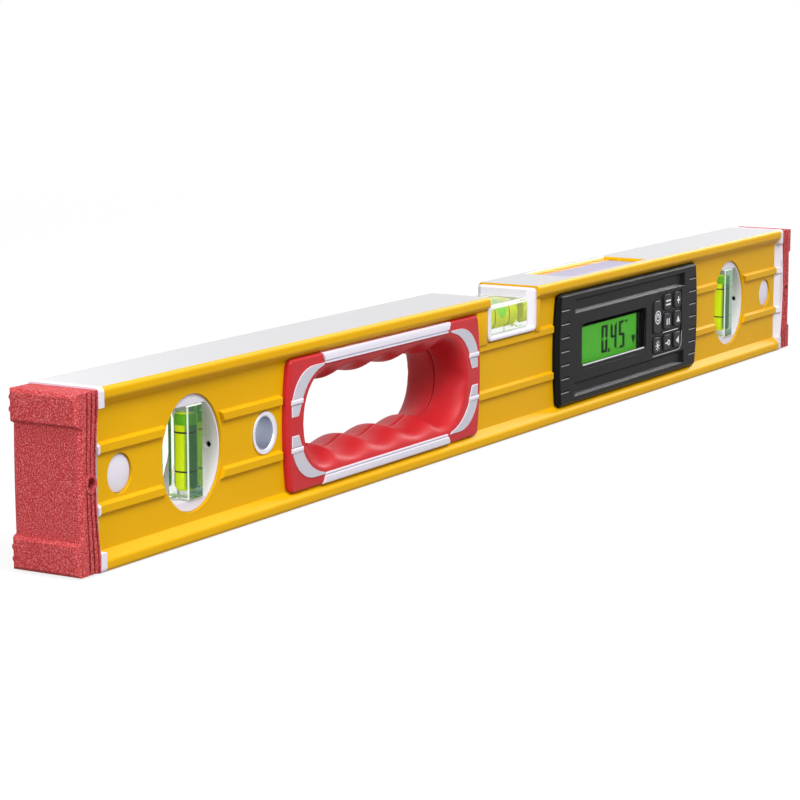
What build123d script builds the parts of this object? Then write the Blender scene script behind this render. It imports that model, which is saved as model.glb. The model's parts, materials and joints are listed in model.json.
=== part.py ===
# An electronic spirit level, 61 cm long: a box profile with three vials, a hand grip and a display module.
# X runs along the level, the front face looks towards -Y and Z is up.
# The origin is at the middle of the bottom measuring face.
import os

from build123d import *

os.makedirs("parts", exist_ok=True)

# Profile
overall_length = 610.0
section_width = 30.0
section_height = 63.0
side_recess = 3.5
side_wall = 2.0
web_thickness = 3.0
flange_edge = 4.0
flange_slope = 3.0
flange_round = 1.8
cavity_round = 1.5
rib_spacing = 20.6
rib_foot = 4.4
rib_crest = 2.6
rib_height = 1.4
rib_gap = 1.0

# Fits
slip_fit = 0.3
snug_fit = 0.2
thread_fit = 0.1

# End caps
bumper_length = 12.0
pad_height = 10.5
pad_step = 2.0
cap_inset = 0.7
cap_side_inset = 1.2
cap_waist = 1.5
cap_edge = 1.2
collar_thickness = 3.0
groove_count = 3
groove_pitch = 2.4
groove_width = 0.9
groove_depth = 0.5
strap_hole = 4.6
strap_rim = 6.6
strap_hole_depth = 8.0
stop_length = 8.0
stop_pitch = 4.0
stop_radius = 1.2
plug_depth = 23.0
plug_wall = 2.0

# Latch arms in the plugs
latch_inset = 12.3
latch_hole = 14.0
latch_dome = 0.7
latch_sink = 0.2
arm_height = 15.0
arm_thickness = 1.6
arm_overhang = 1.0
arm_root_inset = 1.6

# Plumb vials
plumb_shift = 1.6
oval_width = 36.5
oval_height = 42.2
oval_rim = 0.8
oval_draft = 1.2
oval_sink = 0.9
plumb_block_width = 9.3
plumb_block_height = 34.0
plumb_chamber_width = 6.9
plumb_chamber_depth = 19.0
plumb_chamber_height = 28.0
plumb_chamber_round = 2.6
plumb_bubble_height = 5.0
vent_hole = 2.2
vent_depth = 4.0

# Level vial
notch_x = -1.4
notch_length = 43.6
notch_depth = 19.2
notch_round = 3.0
cradle_sink = 0.8
cradle_front = 14.0
cradle_floor = 2.0
cradle_pocket = 33.4
cradle_flare = 2.6
level_block_depth = 24.0
level_block_height = 12.6
level_chamber_radius = 5.2
level_chamber_length = 28.0
level_bubble_radius = 4.2
level_bubble_length = 11.0
level_bubble_lift = 0.5
level_ring_spacing = 12.5
plumb_ring_spacing = 14.0
ring_width = 0.6
ring_thickness = 0.25
vial_round = 1.0

# Hang hole
hang_gap = 11.6
hang_bore = 12.0
hang_tube_wall = 1.0
hang_rim_width = 0.8
hang_rim_height = 0.6

# Handle
handle_gap = 9.4
handle_length = 145.4
handle_bow = 2.2
handle_round = 2.0
handle_edge = 1.0
seat_thickness = 1.2
frame_border = 2.0
throat_cut_border = 5.2
throat_cut_height = 45.0
throat_cut_round = 20.0
throat_wall = 1.5
lip_border = 9.2
lip_height = 41.5
lip_depth = 4.0
lip_taper = 54.5
finger_count = 3
finger_pitch = 24.7
finger_depth = 2.8
finger_crest_gap = 24.8
finger_crest_round = 2.5
throat_end = 23.5
throat_draft = 3.6
bracket_border = 2.7
bracket_height = 47.4
bracket_round = 15.0
bracket_side = 5.0
bracket_edge = 1.5
bracket_band = 4.4
bar_height = 3.6
bar_end = 15.5

# Display module
module_gap = 19.1
module_length = 148.4
module_bow = 2.2
module_round = 2.0
module_edge = 1.5
module_drop = 0.4
channel_inset = 16.2
channel_width = 6.5
channel_centre = 18.7
channel_depth = 1.4
channel_taper = 45.0
tick_count = 7
tick_pitch = 6.1
tick_length = 7.5
tick_width = 0.8
tick_depth = 0.5
tick_inset = 3.0
box_border = 5.7
box_height = 39.0
box_round = 4.0
box_wall = 1.6
box_depth = 9.5
seal_thickness = 1.0
screen_inset = 24.9
screen_gap = 13.0
screen_drop = 0.5
screen_height = 17.3
screen_round = 0.6
lens_margin = 1.8
lens_overrun = 3.5
lens_thickness = 1.0
lens_sink = 0.2
glass_thickness = 1.6
light_thickness = 2.4
board_thickness = 1.6
board_margin = 2.4

# Keypad
key_inset = 35.6
key_pitch = 11.35
key_width = 8.4
key_height = 7.4
key_round = 2.0
key_proud = 0.4
key_travel = 0.8
key_lip = 0.7
key_lip_thickness = 0.8
top_row = 9.7
middle_row = 0.6
bottom_row = -9.6
power_height = 15.4
power_row = 3.8
mat_margin = 3.0
keypad_margin = 1.0
keypad_sink = 0.4

# Inner pieces of the module
cell_diameter = 14.5
cell_length = 50.5
cell_pitch = 16.0
cell_offset = 14.3
cell_y = 2.6
nub_diameter = 5.5
nub_length = 1.0
contact_thickness = 0.5
contact_width = 8.0
holder_end = 2.5
sensor_inset = 26.5
sensor_length = 16.0
sensor_depth = 7.0
sensor_height = 14.0
buzzer_inset = 15.9
buzzer_diameter = 10.0
buzzer_depth = 5.0

# Back of the module
cover_length = 64.0
cover_height = 37.0
cover_thickness = 1.8
cover_round = 2.5
cover_edge = 0.4
cover_ledge = 1.5
cover_screw_margin = 4.5
grip_line_count = 5
grip_line_pitch = 3.0
screw_head = 4.6
screw_head_depth = 1.2
screw_shank = 2.5
screw_reach = 5.0
boss_depth = 5.0
pillar_diameter = 5.6
pillar_overlap = 0.6

# Top display
top_offset = 17.3
top_length = 77.0
top_width = 20.0
top_chamfer = 1.2
pane_sink = 0.8
pane_thickness = 2.0
top_glass_thickness = 1.6
carrier_wall = 2.0

# Worked-out places
half_width = section_width / 2
wall_outer = half_width - side_recess
wall_inner = wall_outer - side_wall
mid_height = section_height / 2
overall_end = overall_length / 2
collar_end = overall_end - bumper_length
profile_end = collar_end - collar_thickness
slope_foot = flange_edge + flange_slope
cavity_top = section_height - web_thickness
latch_x = profile_end - latch_inset
seat_height = section_height - 2 * slope_foot
seat_front = wall_outer + seat_thickness
hang_hole = hang_bore + 2 * hang_tube_wall + snug_fit
over_height = seat_height + 2 * (seat_thickness * flange_slope / side_recess - snug_fit)
notch_floor = section_height - notch_depth
handle_x = notch_x - notch_length / 2 - handle_gap - handle_length / 2
hang_x = handle_x - handle_length / 2 - hang_gap
plumb_reach = (latch_x - hang_x) / 2
plumb_left = -plumb_reach - plumb_shift
plumb_right = plumb_reach - plumb_shift
plumb_distance = plumb_right - plumb_left
throat_cut_length = handle_length - 2 * throat_cut_border
module_start = notch_x + notch_length / 2 + module_gap
module_end = module_start + module_length
module_x = (module_start + module_end) / 2
box_length = module_length - 2 * box_border
top_x = module_x - top_offset
front_plane = Plane.XZ
rear_plane = Plane(origin=(0, 0, 0), x_dir=(-1, 0, 0), z_dir=(0, 1, 0))


def finish(builder, name):
    builder.part.label = name
    export_step(builder.part, f"parts/{name}.step")


def mirrored(source, about, name):
    with BuildPart() as copy:
        mirror(source.part, about=about)
    finish(copy, name)


def shifted(source, distance, name):
    with BuildPart() as copy:
        with Locations((distance, 0, 0)):
            add(source.part)
    finish(copy, name)


# A long plate with bowed ends
def barrel(length, height, bow, corner):
    edge = length / 2 - bow
    with BuildSketch() as outline:
        with BuildLine():
            for turn in (-1, 1):
                Line((-edge, turn * height / 2), (edge, turn * height / 2))
                ThreePointArc((turn * edge, -height / 2), (turn * length / 2, 0), (turn * edge, height / 2))
        make_face()
        fillet(outline.vertices(), radius=corner)
    return outline.sketch


# Box profile with milled faces, side recesses and two ribs a side
def rib_outline(height):
    return [
        (wall_outer, height - rib_foot / 2),
        (wall_outer + rib_height, height - rib_crest / 2),
        (wall_outer + rib_height, height + rib_crest / 2),
        (wall_outer, height + rib_foot / 2),
    ]


with BuildPart() as profile:
    with BuildSketch(Plane.YZ) as section:
        with BuildLine():
            Polyline(
                (0, 0),
                (half_width, 0),
                (half_width, flange_edge),
                (wall_outer, slope_foot),
                *rib_outline(mid_height - rib_spacing / 2),
                *rib_outline(mid_height + rib_spacing / 2),
                (wall_outer, section_height - slope_foot),
                (half_width, section_height - flange_edge),
                (half_width, section_height),
                (0, section_height),
            )
            mirror(about=Plane.YZ)
        make_face()
        flange_corners = section.vertices().filter_by(lambda v: abs(v.X) > wall_outer + rib_height + rib_gap)
        fillet(flange_corners, radius=flange_round)
        with Locations((0, mid_height)):
            RectangleRounded(2 * wall_inner, cavity_top - web_thickness, cavity_round, mode=Mode.SUBTRACT)
    extrude(amount=profile_end, both=True)
    with BuildSketch(Plane.XZ):
        with Locations((plumb_left, mid_height), (plumb_right, mid_height)):
            Ellipse(oval_width / 2, oval_height / 2)
        with Locations((-latch_x, mid_height), (latch_x, mid_height)):
            Circle(latch_hole / 2)
        with Locations((hang_x, mid_height)):
            Circle(hang_hole / 2)
        with Locations((handle_x, mid_height)):
            RectangleRounded(throat_cut_length, throat_cut_height, throat_cut_round)
        with Locations((module_x, mid_height)):
            RectangleRounded(box_length, box_height, box_round)
        with Locations((notch_x, section_height)):
            RectangleRounded(notch_length, 2 * (section_height - notch_floor), notch_round)
    extrude(amount=section_width, both=True, mode=Mode.SUBTRACT)
    # The ribs are milled away where the handle, the module and the vial housings sit
    for side in (front_plane, rear_plane):
        turn = side.x_dir.X
        with BuildSketch(side.offset(wall_outer)):
            with Locations((turn * handle_x, mid_height)):
                Rectangle(handle_length + 2 * rib_gap, seat_height)
            with Locations((turn * module_x, mid_height)):
                Rectangle(module_length + 2 * rib_gap, seat_height)
            with Locations((turn * plumb_left, mid_height), (turn * plumb_right, mid_height)):
                Ellipse(oval_width / 2 + 2 * rib_gap, oval_height / 2 + rib_gap)
        extrude(amount=side_recess, mode=Mode.SUBTRACT)
    with BuildSketch(Plane.XY.offset(cavity_top)):
        with Locations((top_x, 0)):
            Rectangle(top_length, top_width)
    extrude(amount=web_thickness, mode=Mode.SUBTRACT)
    window_edges = (
        profile.edges()
        .filter_by_position(Axis.Z, section_height, section_height)
        .filter_by_position(Axis.X, top_x - top_length / 2, top_x + top_length / 2)
        .filter_by_position(Axis.Y, -top_width / 2, top_width / 2)
    )
    chamfer(window_edges, length=top_chamfer)
finish(profile, "profile")

# End cap: a rubber bumper on a plug with a collar
cap_half_width = half_width - cap_side_inset
cap_top = section_height - cap_inset


def waist_arc(inset):
    return [
        (cap_half_width - inset, slope_foot),
        (cap_half_width - cap_waist - inset, mid_height),
        (cap_half_width - inset, section_height - slope_foot),
    ]


def cap_outline(inset):
    side = cap_half_width - inset
    with BuildSketch() as outline:
        with BuildLine():
            Polyline((0, 0), (side, 0), (side, slope_foot))
            ThreePointArc(*waist_arc(inset))
            Polyline((side, section_height - slope_foot), (side, section_height), (0, section_height))
            mirror(about=Plane.YZ)
        make_face()
    return outline.sketch


with BuildPart() as end_bumper_right:
    with BuildSketch(Plane.XZ):
        with BuildLine():
            Polyline(
                (collar_end, cap_inset),
                (overall_end, cap_inset),
                (overall_end, cap_inset + pad_height),
                (overall_end - pad_step, cap_inset + pad_height + pad_step / 2),
                (overall_end - pad_step, cap_top - pad_height - pad_step / 2),
                (overall_end, cap_top - pad_height),
                (overall_end, cap_top),
                (collar_end, cap_top),
                close=True,
            )
        make_face()
    extrude(amount=cap_half_width, both=True)
    with BuildSketch(Plane.YZ.offset(collar_end)):
        add(cap_outline(0))
    extrude(amount=bumper_length, mode=Mode.INTERSECT)
    outer_edges = end_bumper_right.edges().filter_by_position(
        Axis.X, overall_end - pad_step - cap_edge / 2, overall_end
    )
    rim_edges = outer_edges.filter_by(Axis.Z) + outer_edges.filter_by(GeomType.CIRCLE)
    rim_rows = outer_edges.filter_by(Axis.Y).group_by(Axis.Z)
    chamfer(rim_edges + rim_rows[0] + rim_rows[-1], length=cap_edge)
    # Upright grooves on both sides, next to the collar
    for groove in range(groove_count):
        with BuildSketch(Plane.YZ.offset(collar_end + (groove + 0.5) * groove_pitch - groove_width / 2)):
            with Locations((0, mid_height)):
                Rectangle(section_width, section_height)
            add(cap_outline(groove_depth), mode=Mode.SUBTRACT)
        extrude(amount=groove_width, mode=Mode.SUBTRACT)
    # Strap hole with a raised rim on both sides
    strap_x = collar_end + snug_fit + strap_rim / 2
    waist_side = cap_half_width - cap_waist
    for side in (front_plane, rear_plane):
        with BuildSketch(side.offset(waist_side - groove_depth)):
            with Locations((side.x_dir.X * strap_x, mid_height)):
                Circle(strap_rim / 2)
        extrude(amount=2 * groove_depth)
        with BuildSketch(side.offset(half_width)):
            with Locations((side.x_dir.X * strap_x, mid_height)):
                Circle(strap_hole / 2)
        extrude(amount=-strap_hole_depth, mode=Mode.SUBTRACT)
    # Slip stops on the rear side, two at the top and two at the bottom
    stop_x = overall_end - pad_step - stop_length / 2
    stop_from_middle = mid_height - cap_inset - pad_height / 2
    with BuildSketch(Plane.YZ.offset(stop_x - stop_length / 2)):
        with Locations((cap_half_width, mid_height)):
            for pad in (-stop_from_middle, stop_from_middle):
                with Locations((0, pad - stop_pitch / 2), (0, pad + stop_pitch / 2)):
                    Circle(stop_radius)
    extrude(amount=stop_length)
finish(end_bumper_right, "end_bumper_right")
mirrored(end_bumper_right, Plane.YZ, "end_bumper_left")

plug_width = 2 * (wall_inner - slip_fit)
plug_height = cavity_top - web_thickness - 2 * slip_fit
arm_root_x = profile_end - arm_root_inset
arm_tip_x = latch_x - latch_hole / 2 - arm_overhang
slot_start = arm_tip_x - slip_fit
slot_end = arm_root_x + arm_thickness / 2 + snug_fit

with BuildPart() as shoulder_cut:
    with BuildSketch(Plane.YZ.offset(profile_end)):
        with Locations((wall_outer, mid_height)):
            Rectangle(side_recess + rib_gap, seat_height, align=(Align.MIN, Align.CENTER))
    with BuildSketch(Plane.YZ.offset(collar_end)):
        with BuildLine():
            waist = ThreePointArc(*waist_arc(0))
            Polyline(
                waist @ 1,
                (half_width + rib_gap, section_height - slope_foot),
                (half_width + rib_gap, slope_foot),
                waist @ 0,
            )
        make_face()
    loft(ruled=True)

with BuildPart() as end_plug_right:
    with BuildSketch(Plane.XZ):
        with Locations((profile_end, mid_height)):
            Rectangle(collar_thickness, section_height, align=(Align.MIN, Align.CENTER))
    extrude(amount=half_width, both=True)
    collar_corners = end_plug_right.edges().filter_by(Axis.X)
    fillet(collar_corners, radius=flange_round)
    # Sloping shoulders that close the side recesses
    add(shoulder_cut.part, mode=Mode.SUBTRACT)
    mirror(shoulder_cut.part, about=Plane.XZ, mode=Mode.SUBTRACT)
    # Hollow plug inside the profile
    with BuildSketch(Plane.YZ.offset(profile_end)):
        with Locations((0, mid_height)):
            RectangleRounded(plug_width, plug_height, cavity_round)
            RectangleRounded(
                plug_width - 2 * plug_wall, plug_height - 2 * plug_wall, cavity_round, mode=Mode.SUBTRACT
            )
    extrude(amount=-plug_depth)
    with BuildSketch(Plane.XZ):
        with Locations(((slot_start + slot_end) / 2, mid_height)):
            Rectangle(slot_end - slot_start, arm_height + 2 * slip_fit)
    extrude(amount=half_width, both=True, mode=Mode.SUBTRACT)
finish(end_plug_right, "end_plug_right")
mirrored(end_plug_right, Plane.YZ, "end_plug_left")

# Latch arm with its round button head, turning on a rounded root
latch_radius = latch_hole / 2 - slip_fit
arm_front = wall_inner - slip_fit
head_face = wall_outer - latch_sink - latch_dome

with BuildPart() as latch_right_front:
    with BuildSketch(Plane.XY.offset(mid_height - arm_height / 2)):
        with BuildLine():
            Polyline(
                (arm_root_x, -arm_front),
                (arm_tip_x, -arm_front),
                (arm_tip_x, arm_thickness - arm_front),
                (arm_root_x, arm_thickness - arm_front),
            )
            ThreePointArc(
                (arm_root_x, arm_thickness - arm_front),
                (arm_root_x + arm_thickness / 2, arm_thickness / 2 - arm_front),
                (arm_root_x, -arm_front),
            )
        make_face()
    extrude(amount=arm_height)
    with BuildSketch(Plane.XZ.offset(arm_front)):
        with Locations((latch_x, mid_height)):
            Circle(latch_radius)
    extrude(amount=head_face - arm_front)
    with BuildSketch(Plane.XY.offset(mid_height)):
        with BuildLine():
            crown = ThreePointArc(
                (latch_x - latch_radius, -head_face),
                (latch_x, -head_face - latch_dome),
                (latch_x + latch_radius, -head_face),
            )
            Polyline(crown @ 1, (latch_x, -head_face), crown @ 0)
        make_face()
        with Locations((latch_x - latch_radius, -head_face)):
            Rectangle(2 * latch_radius, 2 * latch_radius, mode=Mode.SUBTRACT)
    revolve(axis=Axis((latch_x, 0, mid_height), (0, 1, 0)))
finish(latch_right_front, "latch_right_front")
mirrored(latch_right_front, Plane.XZ, "latch_right_rear")
mirrored(latch_right_front, Plane.YZ, "latch_left_front")
with BuildPart() as latch_left_rear:
    mirror(mirror(latch_right_front.part, about=Plane.YZ, mode=Mode.PRIVATE), about=Plane.XZ)
finish(latch_left_rear, "latch_left_rear")

# Plumb vial: an oval housing through both walls, with a clear block in it
oval_fit = oval_width / 2 - snug_fit
oval_tall_fit = oval_height / 2 - snug_fit
housing_face = wall_outer - oval_sink

with BuildPart() as plumb_housing_left:
    with BuildSketch(Plane.XZ):
        with Locations((plumb_left, mid_height)):
            Ellipse(oval_fit, oval_tall_fit)
    extrude(amount=housing_face, both=True)
    # Windows beside the vial, whose walls draw in towards the middle
    for side in (front_plane, rear_plane):
        for depth, rim in ((0, oval_rim + oval_draft), (housing_face, oval_rim)):
            with BuildSketch(side.offset(depth)):
                with Locations((side.x_dir.X * plumb_left, mid_height)):
                    Ellipse(oval_fit - rim, oval_tall_fit - rim)
                    Rectangle(oval_width, plumb_block_height, mode=Mode.INTERSECT)
        loft(ruled=True, mode=Mode.SUBTRACT)
    with BuildSketch(Plane.YZ.offset(plumb_left)):
        with Locations((-housing_face + vent_depth, mid_height)):
            Circle(vent_hole / 2)
    extrude(amount=oval_width, mode=Mode.SUBTRACT)
finish(plumb_housing_left, "plumb_housing_left")
shifted(plumb_housing_left, plumb_distance, "plumb_housing_right")

chamber_bottom = mid_height - plumb_chamber_height / 2
chamber_top = chamber_bottom + plumb_chamber_height

with BuildPart() as plumb_chamber:
    with BuildSketch(Plane.XY.offset(chamber_bottom)):
        with Locations((plumb_left, 0)):
            SlotOverall(plumb_chamber_depth, plumb_chamber_width, rotation=90)
    extrude(amount=plumb_chamber_height)
    fillet(plumb_chamber.faces().filter_by(Axis.Z).edges(), radius=plumb_chamber_round)

with BuildPart() as plumb_block_left:
    with BuildSketch(Plane.XY.offset(mid_height - plumb_block_height / 2)):
        with Locations((plumb_left, 0)):
            Rectangle(plumb_block_width, 2 * wall_outer)
    extrude(amount=plumb_block_height)
    add(plumb_chamber.part, mode=Mode.SUBTRACT)
finish(plumb_block_left, "plumb_block_left")
shifted(plumb_block_left, plumb_distance, "plumb_block_right")

with BuildPart() as plumb_rings_left:
    for place in (-plumb_ring_spacing / 2, plumb_ring_spacing / 2):
        with BuildSketch(Plane.XY.offset(mid_height + place - ring_width / 2)):
            with Locations((plumb_left, 0)):
                SlotOverall(plumb_chamber_depth, plumb_chamber_width, rotation=90)
                SlotOverall(
                    plumb_chamber_depth - 2 * ring_thickness,
                    plumb_chamber_width - 2 * ring_thickness,
                    rotation=90,
                    mode=Mode.SUBTRACT,
                )
        extrude(amount=ring_width)
finish(plumb_rings_left, "plumb_rings_left")
shifted(plumb_rings_left, plumb_distance, "plumb_rings_right")

bubble_gap = ring_thickness + slip_fit
with BuildPart() as plumb_bubble_left:
    with BuildSketch(Plane.XY.offset(chamber_top - slip_fit - plumb_bubble_height)):
        with Locations((plumb_left, 0)):
            SlotOverall(
                plumb_chamber_depth - 2 * plumb_chamber_round,
                plumb_chamber_width - 2 * bubble_gap,
                rotation=90,
            )
    extrude(amount=plumb_bubble_height)
    fillet(plumb_bubble_left.faces().filter_by(Axis.Z).edges(), radius=plumb_bubble_height / 2 - slip_fit)
finish(plumb_bubble_left, "plumb_bubble_left")
shifted(plumb_bubble_left, plumb_distance, "plumb_bubble_right")

with BuildPart() as plumb_fluid_left:
    add(plumb_chamber.part)
    add(plumb_rings_left.part, mode=Mode.SUBTRACT)
    add(plumb_bubble_left.part, mode=Mode.SUBTRACT)
finish(plumb_fluid_left, "plumb_fluid_left")
shifted(plumb_fluid_left, plumb_distance, "plumb_fluid_right")

# Level vial: a cradle in the top notch, open to the front, the back and above
cradle_top = section_height - cradle_sink
block_bottom = notch_floor + cradle_floor
chamber_axis = block_bottom + level_block_height / 2

with BuildPart() as level_cradle:
    with BuildSketch(Plane.XZ.shift_origin(Vector(notch_x, 0, 0))):
        with BuildLine():
            Polyline(
                (-notch_length / 2 + snug_fit, cradle_top),
                (-notch_length / 2 + snug_fit, notch_floor),
                (notch_length / 2 - snug_fit, notch_floor),
                (notch_length / 2 - snug_fit, cradle_top),
                (cradle_pocket / 2, cradle_top),
                (cradle_pocket / 2, block_bottom),
                (-cradle_pocket / 2, block_bottom),
                (-cradle_pocket / 2, cradle_top),
                close=True,
            )
        make_face()
    extrude(amount=cradle_front, both=True)
    lower_edges = level_cradle.edges().filter_by(Axis.Y).group_by(Axis.Z)[0]
    fillet(lower_edges, radius=notch_round)
    upper_edges = level_cradle.edges().filter_by(Axis.X).group_by(Axis.Z)[-1]
    chamfer(upper_edges, length=vial_round)
    # The pocket opens out towards the front and the back
    mouth_edges = (
        level_cradle.edges()
        .filter_by(Axis.Z)
        .filter_by_position(Axis.X, notch_x - cradle_pocket / 2, notch_x + cradle_pocket / 2)
    )
    chamfer(mouth_edges, length=cradle_flare)
finish(level_cradle, "level_cradle")

with BuildPart() as level_chamber:
    with BuildSketch(Plane.YZ.offset(notch_x - level_chamber_length / 2)):
        with Locations((0, chamber_axis)):
            Circle(level_chamber_radius)
    extrude(amount=level_chamber_length)
    fillet(level_chamber.faces().filter_by(Axis.X).edges(), radius=vial_round)

with BuildPart() as level_block:
    with BuildSketch(Plane.XY.offset(block_bottom)):
        with Locations((notch_x, 0)):
            Rectangle(cradle_pocket - 2 * snug_fit, level_block_depth)
    extrude(amount=level_block_height)
    chamfer(level_block.edges().filter_by(Axis.X).group_by(Axis.Z)[-1], length=vial_round)
    add(level_chamber.part, mode=Mode.SUBTRACT)
finish(level_block, "level_block")

with BuildPart() as level_rings:
    for place in (-level_ring_spacing / 2, level_ring_spacing / 2):
        with BuildSketch(Plane.YZ.offset(notch_x + place - ring_width / 2)):
            with Locations((0, chamber_axis)):
                Circle(level_chamber_radius)
                Circle(level_chamber_radius - ring_thickness, mode=Mode.SUBTRACT)
        extrude(amount=ring_width)
finish(level_rings, "level_rings")

with BuildPart() as level_bubble:
    with BuildSketch(Plane.YZ.offset(notch_x - level_bubble_length / 2)):
        with Locations((0, chamber_axis + level_bubble_lift)):
            Circle(level_bubble_radius)
    extrude(amount=level_bubble_length)
    fillet(level_bubble.faces().filter_by(Axis.X).edges(), radius=level_bubble_radius - slip_fit)
finish(level_bubble, "level_bubble")

with BuildPart() as level_fluid:
    add(level_chamber.part)
    add(level_rings.part, mode=Mode.SUBTRACT)
    add(level_bubble.part, mode=Mode.SUBTRACT)
finish(level_fluid, "level_fluid")

# Hang hole sleeve, flared on both sides
with BuildPart() as hang_sleeve:
    with BuildSketch(Plane.XZ):
        with Locations((hang_x, mid_height)):
            Circle(hang_bore / 2 + hang_tube_wall)
    extrude(amount=wall_outer + hang_rim_height, both=True)
    for side in (front_plane, rear_plane):
        with BuildSketch(side.offset(wall_outer)):
            with Locations((side.x_dir.X * hang_x, mid_height)):
                Circle(hang_hole / 2 + hang_rim_width)
        extrude(amount=hang_rim_height)
    with BuildSketch(Plane.XZ):
        with Locations((hang_x, mid_height)):
            Circle(hang_bore / 2)
    extrude(amount=half_width, both=True, mode=Mode.SUBTRACT)
    bore_edges = hang_sleeve.edges().filter_by(GeomType.CIRCLE).filter_by(
        lambda e: abs(e.radius - hang_bore / 2) < snug_fit
    )
    chamfer(bore_edges, length=hang_rim_height)
finish(hang_sleeve, "hang_sleeve")

# Handle: a white frame in two halves, each with a red grip moulded over it
tube_length = throat_cut_length - 2 * slip_fit
tube_height = throat_cut_height - 2 * slip_fit
tube_round = throat_cut_round - slip_fit
lining_length = tube_length - 2 * throat_wall
lining_height = tube_height - 2 * throat_wall
lining_round = tube_round - throat_wall
frame_length = handle_length - 2 * frame_border
lip_length = handle_length - 2 * lip_border
bar_length = lip_length - 2 * bar_end
finger_run = finger_count * finger_pitch
bracket_length = handle_length - 2 * bracket_border

with BuildPart() as handle_frame_front:
    with BuildSketch(Plane.XZ.offset(wall_outer)):
        with Locations((handle_x, mid_height)):
            add(barrel(frame_length, seat_height - frame_border, handle_bow, handle_round))
    extrude(amount=seat_thickness)
    with BuildSketch(Plane.XZ):
        with Locations((handle_x, mid_height)):
            RectangleRounded(tube_length, tube_height, tube_round)
    extrude(amount=seat_front)
    # Corner brackets that stand up round the opening, and a bar along the top and the bottom
    with BuildSketch(Plane.XZ.offset(seat_front)):
        with Locations((handle_x, mid_height)):
            RectangleRounded(bracket_length, bracket_height, bracket_round)
            RectangleRounded(
                bracket_length - 2 * bracket_side,
                bracket_height - 2 * bracket_edge,
                throat_cut_round,
                mode=Mode.SUBTRACT,
            )
            Rectangle(bar_length, section_height, mode=Mode.SUBTRACT)
            Rectangle(handle_length, bracket_band, mode=Mode.SUBTRACT)
            with GridLocations(0, over_height - bar_height, 1, 2):
                RectangleRounded(bar_length, bar_height, bar_height / 3)
    extrude(amount=half_width - seat_front)
    with BuildSketch(Plane.XZ):
        with Locations((handle_x, mid_height)):
            RectangleRounded(lining_length, lining_height, lining_round)
    extrude(amount=seat_front, mode=Mode.SUBTRACT)
finish(handle_frame_front, "handle_frame_front")
mirrored(handle_frame_front, Plane.XZ, "handle_frame_rear")


# The throat has ridges between the fingers above and below, and round ends
def throat_outline(draft):
    crest = finger_crest_gap / 2 + draft
    reach = finger_run / 2 + throat_end + draft / 2
    with BuildSketch() as throat:
        with BuildLine():
            for turn in (-1, 1):
                for finger in range(finger_count):
                    start = finger * finger_pitch - finger_run / 2
                    ThreePointArc(
                        (start, turn * crest),
                        (start + finger_pitch / 2, turn * (crest + finger_depth)),
                        (start + finger_pitch, turn * crest),
                    )
                ThreePointArc((turn * finger_run / 2, -crest), (turn * reach, 0), (turn * finger_run / 2, crest))
        make_face()
        fillet(throat.vertices(), radius=finger_crest_round)
    return throat.sketch


with BuildPart() as handle_grip_front:
    with BuildSketch(Plane.XZ.offset(wall_outer)):
        with Locations((handle_x, mid_height)):
            add(barrel(handle_length, seat_height, handle_bow, handle_round))
    extrude(amount=seat_thickness)
    with BuildSketch(Plane.XZ.offset(seat_front)):
        with Locations((handle_x, mid_height)):
            add(barrel(handle_length, over_height, handle_bow, handle_round))
    extrude(amount=half_width - seat_front)
    front_face = handle_grip_front.faces().filter_by(Axis.Y).sort_by(Axis.Y)[0]
    chamfer(front_face.edges(), length=handle_edge)
    with BuildSketch(Plane.XZ):
        with Locations((handle_x, mid_height)):
            RectangleRounded(lining_length, lining_height, lining_round)
    extrude(amount=seat_front)
    add(handle_frame_front.part, mode=Mode.SUBTRACT)
    # The throat opens from the middle of the section towards the face
    for depth, draft in ((0, 0), (half_width, throat_draft)):
        with BuildSketch(Plane.XZ.offset(depth)):
            with Locations((handle_x, mid_height)):
                add(throat_outline(draft))
    loft(ruled=True, mode=Mode.SUBTRACT)
    # Smooth lip that narrows into the throat
    with BuildSketch(Plane.XZ.offset(half_width)):
        with Locations((handle_x, mid_height)):
            RectangleRounded(lip_length, lip_height, throat_cut_round)
    extrude(amount=-lip_depth, taper=lip_taper, mode=Mode.SUBTRACT)
finish(handle_grip_front, "handle_grip_front")
mirrored(handle_grip_front, Plane.XZ, "handle_grip_rear")

# Display module: front housing with channels, a screen opening and key openings
panel_front = half_width - module_drop
key_x = module_end - key_inset
screen_start = module_start + screen_inset
screen_end = key_x - key_pitch - key_width / 2 - screen_gap
screen_length = screen_end - screen_start
screen_x = (screen_start + screen_end) / 2
screen_z = mid_height - screen_drop
lens_seat = panel_front - lens_sink - lens_thickness
glass_front = lens_seat - box_wall
box_fit_length = box_length - 2 * slip_fit
box_fit_height = box_height - 2 * slip_fit
box_back = wall_outer - box_depth

key_places = {
    "key_power": (-1, power_row, power_height),
    "key_mode": (0, top_row, key_height),
    "key_calibrate": (1, top_row, key_height),
    "key_hold": (0, middle_row, key_height),
    "key_reference": (1, middle_row, key_height),
    "key_light": (-1, bottom_row, key_height),
    "key_sound": (0, bottom_row, key_height),
    "key_tone": (1, bottom_row, key_height),
}

keypad_length = 2 * key_pitch + key_width
keypad_height = top_row - bottom_row + key_height

pillar_inset = slip_fit + box_wall + pillar_diameter / 2 - pillar_overlap
pillar_spacing = (box_length - 2 * pillar_inset, box_height - 2 * pillar_inset)

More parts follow.
